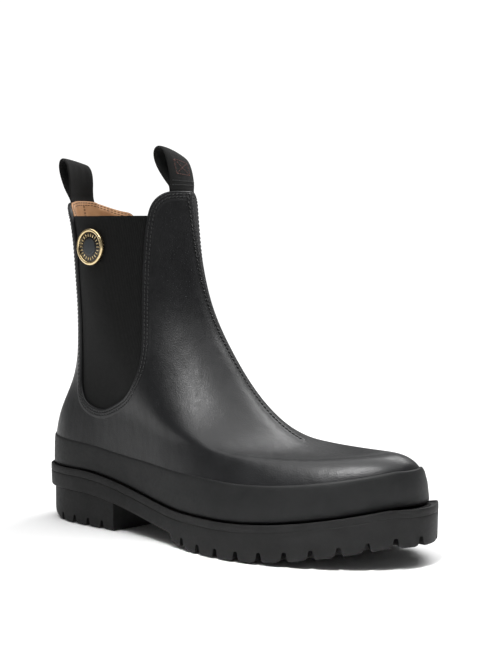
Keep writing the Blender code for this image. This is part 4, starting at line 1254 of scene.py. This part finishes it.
def build_studio():
    """Paper floor, lights and world."""
    turn = np.arange(96) * 2 * np.pi / 96
    rim = [(4.0 * np.cos(t), 4.0 * np.sin(t), -0.0003) for t in turn]
    floor_mesh = bpy.data.meshes.new("studio_floor")
    floor_mesh.from_pydata(rim, [], [tuple(range(96))])
    floor = placed("studio_floor", floor_mesh)
    paper = Look("studio_paper", Roughness=0.95, Specular_IOR_Level=0.0)
    paper.colour(paper.ramp(paper.noise(0.002, 2), (0.0, (0.95, 0.95, 0.95)), (1.0, (0.96, 0.96, 0.96))))
    floor_mesh.materials.append(paper.made)
    # White paper all round, and a dimmer room for the boot to mirror.
    world = bpy.data.worlds.new("studio_world")
    world.use_nodes = True
    tree = world.node_tree
    room = tree.nodes["Background"]
    room.inputs["Color"].default_value = (1, 1, 1, 1)
    room.inputs["Strength"].default_value = 0.19
    white = tree.nodes.new("ShaderNodeBackground")
    white.inputs["Color"].default_value = (1, 1, 1, 1)
    white.inputs["Strength"].default_value = 1.1
    seen, mixed = tree.nodes.new("ShaderNodeLightPath"), tree.nodes.new("ShaderNodeMixShader")
    tree.links.new(seen.outputs["Is Camera Ray"], mixed.inputs[0])
    tree.links.new(room.outputs[0], mixed.inputs[1])
    tree.links.new(white.outputs[0], mixed.inputs[2])
    tree.links.new(mixed.outputs[0], tree.nodes["World Output"].inputs["Surface"])
    bpy.context.scene.world = world
    bpy.context.scene.view_settings.view_transform = "Standard"
    ceiling = bpy.data.lights.new("soft_ceiling", "SUN")
    ceiling.energy, ceiling.angle = 3.05, np.radians(80)
    placed("soft_ceiling", ceiling).location = (0, 0, 2)
    area_light("far_softbox", (-0.12, 1.05, 1.05), (0.05, 0, 0.07), (0.8, 0.6), 8.6)
    area_light("near_softbox", (0.21, -0.32, 0.66), (0.12, -0.03, 0.06), (0.20, 0.13), 0.21, spread=30)
    camera = bpy.data.cameras.new("photo_camera")
    camera.sensor_fit = "VERTICAL"
    camera.sensor_height = 36.0
    camera.lens = FOCAL_PIXELS / PHOTO_HEIGHT_PIXELS * camera.sensor_height
    camera.clip_start, camera.clip_end = 0.01, 100
    holder = placed("photo_camera", camera)
    holder.location = (0.6899, -0.7675, 0.2033)
    holder.rotation_euler = (np.radians(86.114), 0, np.radians(41.315))
    bpy.context.scene.camera = holder


def repaint_hidden():
    """The model's inner pieces keep their shapes and get their own materials."""
    looks = {"badge_washer": STEEL, "shank": STEEL, "bottom_filler": CORK, "insole_board": BOARD, "sock_liner": TAN,
             "heel_counter": STIFFENER, "toe_puff": STIFFENER}
    looks.update({f"heel_nail_{i}": STEEL for i in range(1, 6)})
    for node, look in looks.items():
        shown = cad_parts[node]
        if not shown.material_slots:
            shown.data.materials.append(look)
        for held in shown.material_slots:
            held.material = look


build_studio()
build_upper()
build_front_seam()
build_rand()
build_gores()
build_linings()
sole = build_outsole()
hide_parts("outsole")
heel = build_heel()
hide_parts("heel_block")
build_welt()
build_tab("front_tab", FRONT_TAB_HINGE, (-14.0, 26.5), 7.0, True, ["front_pull_tab", "front_tab_tail"],
          0.945, 0.27, FRONT_TAB_CENTRE, 0.0)
build_tab("rear_tab", REAR_TAB_HINGE, (-5.0, 27.5), 6.0, False, ["rear_pull_tab", "rear_tab_tail"],
          0.965, 0.16, REAR_TAB_CENTRE, -1.2)
build_badge()
repaint_hidden()
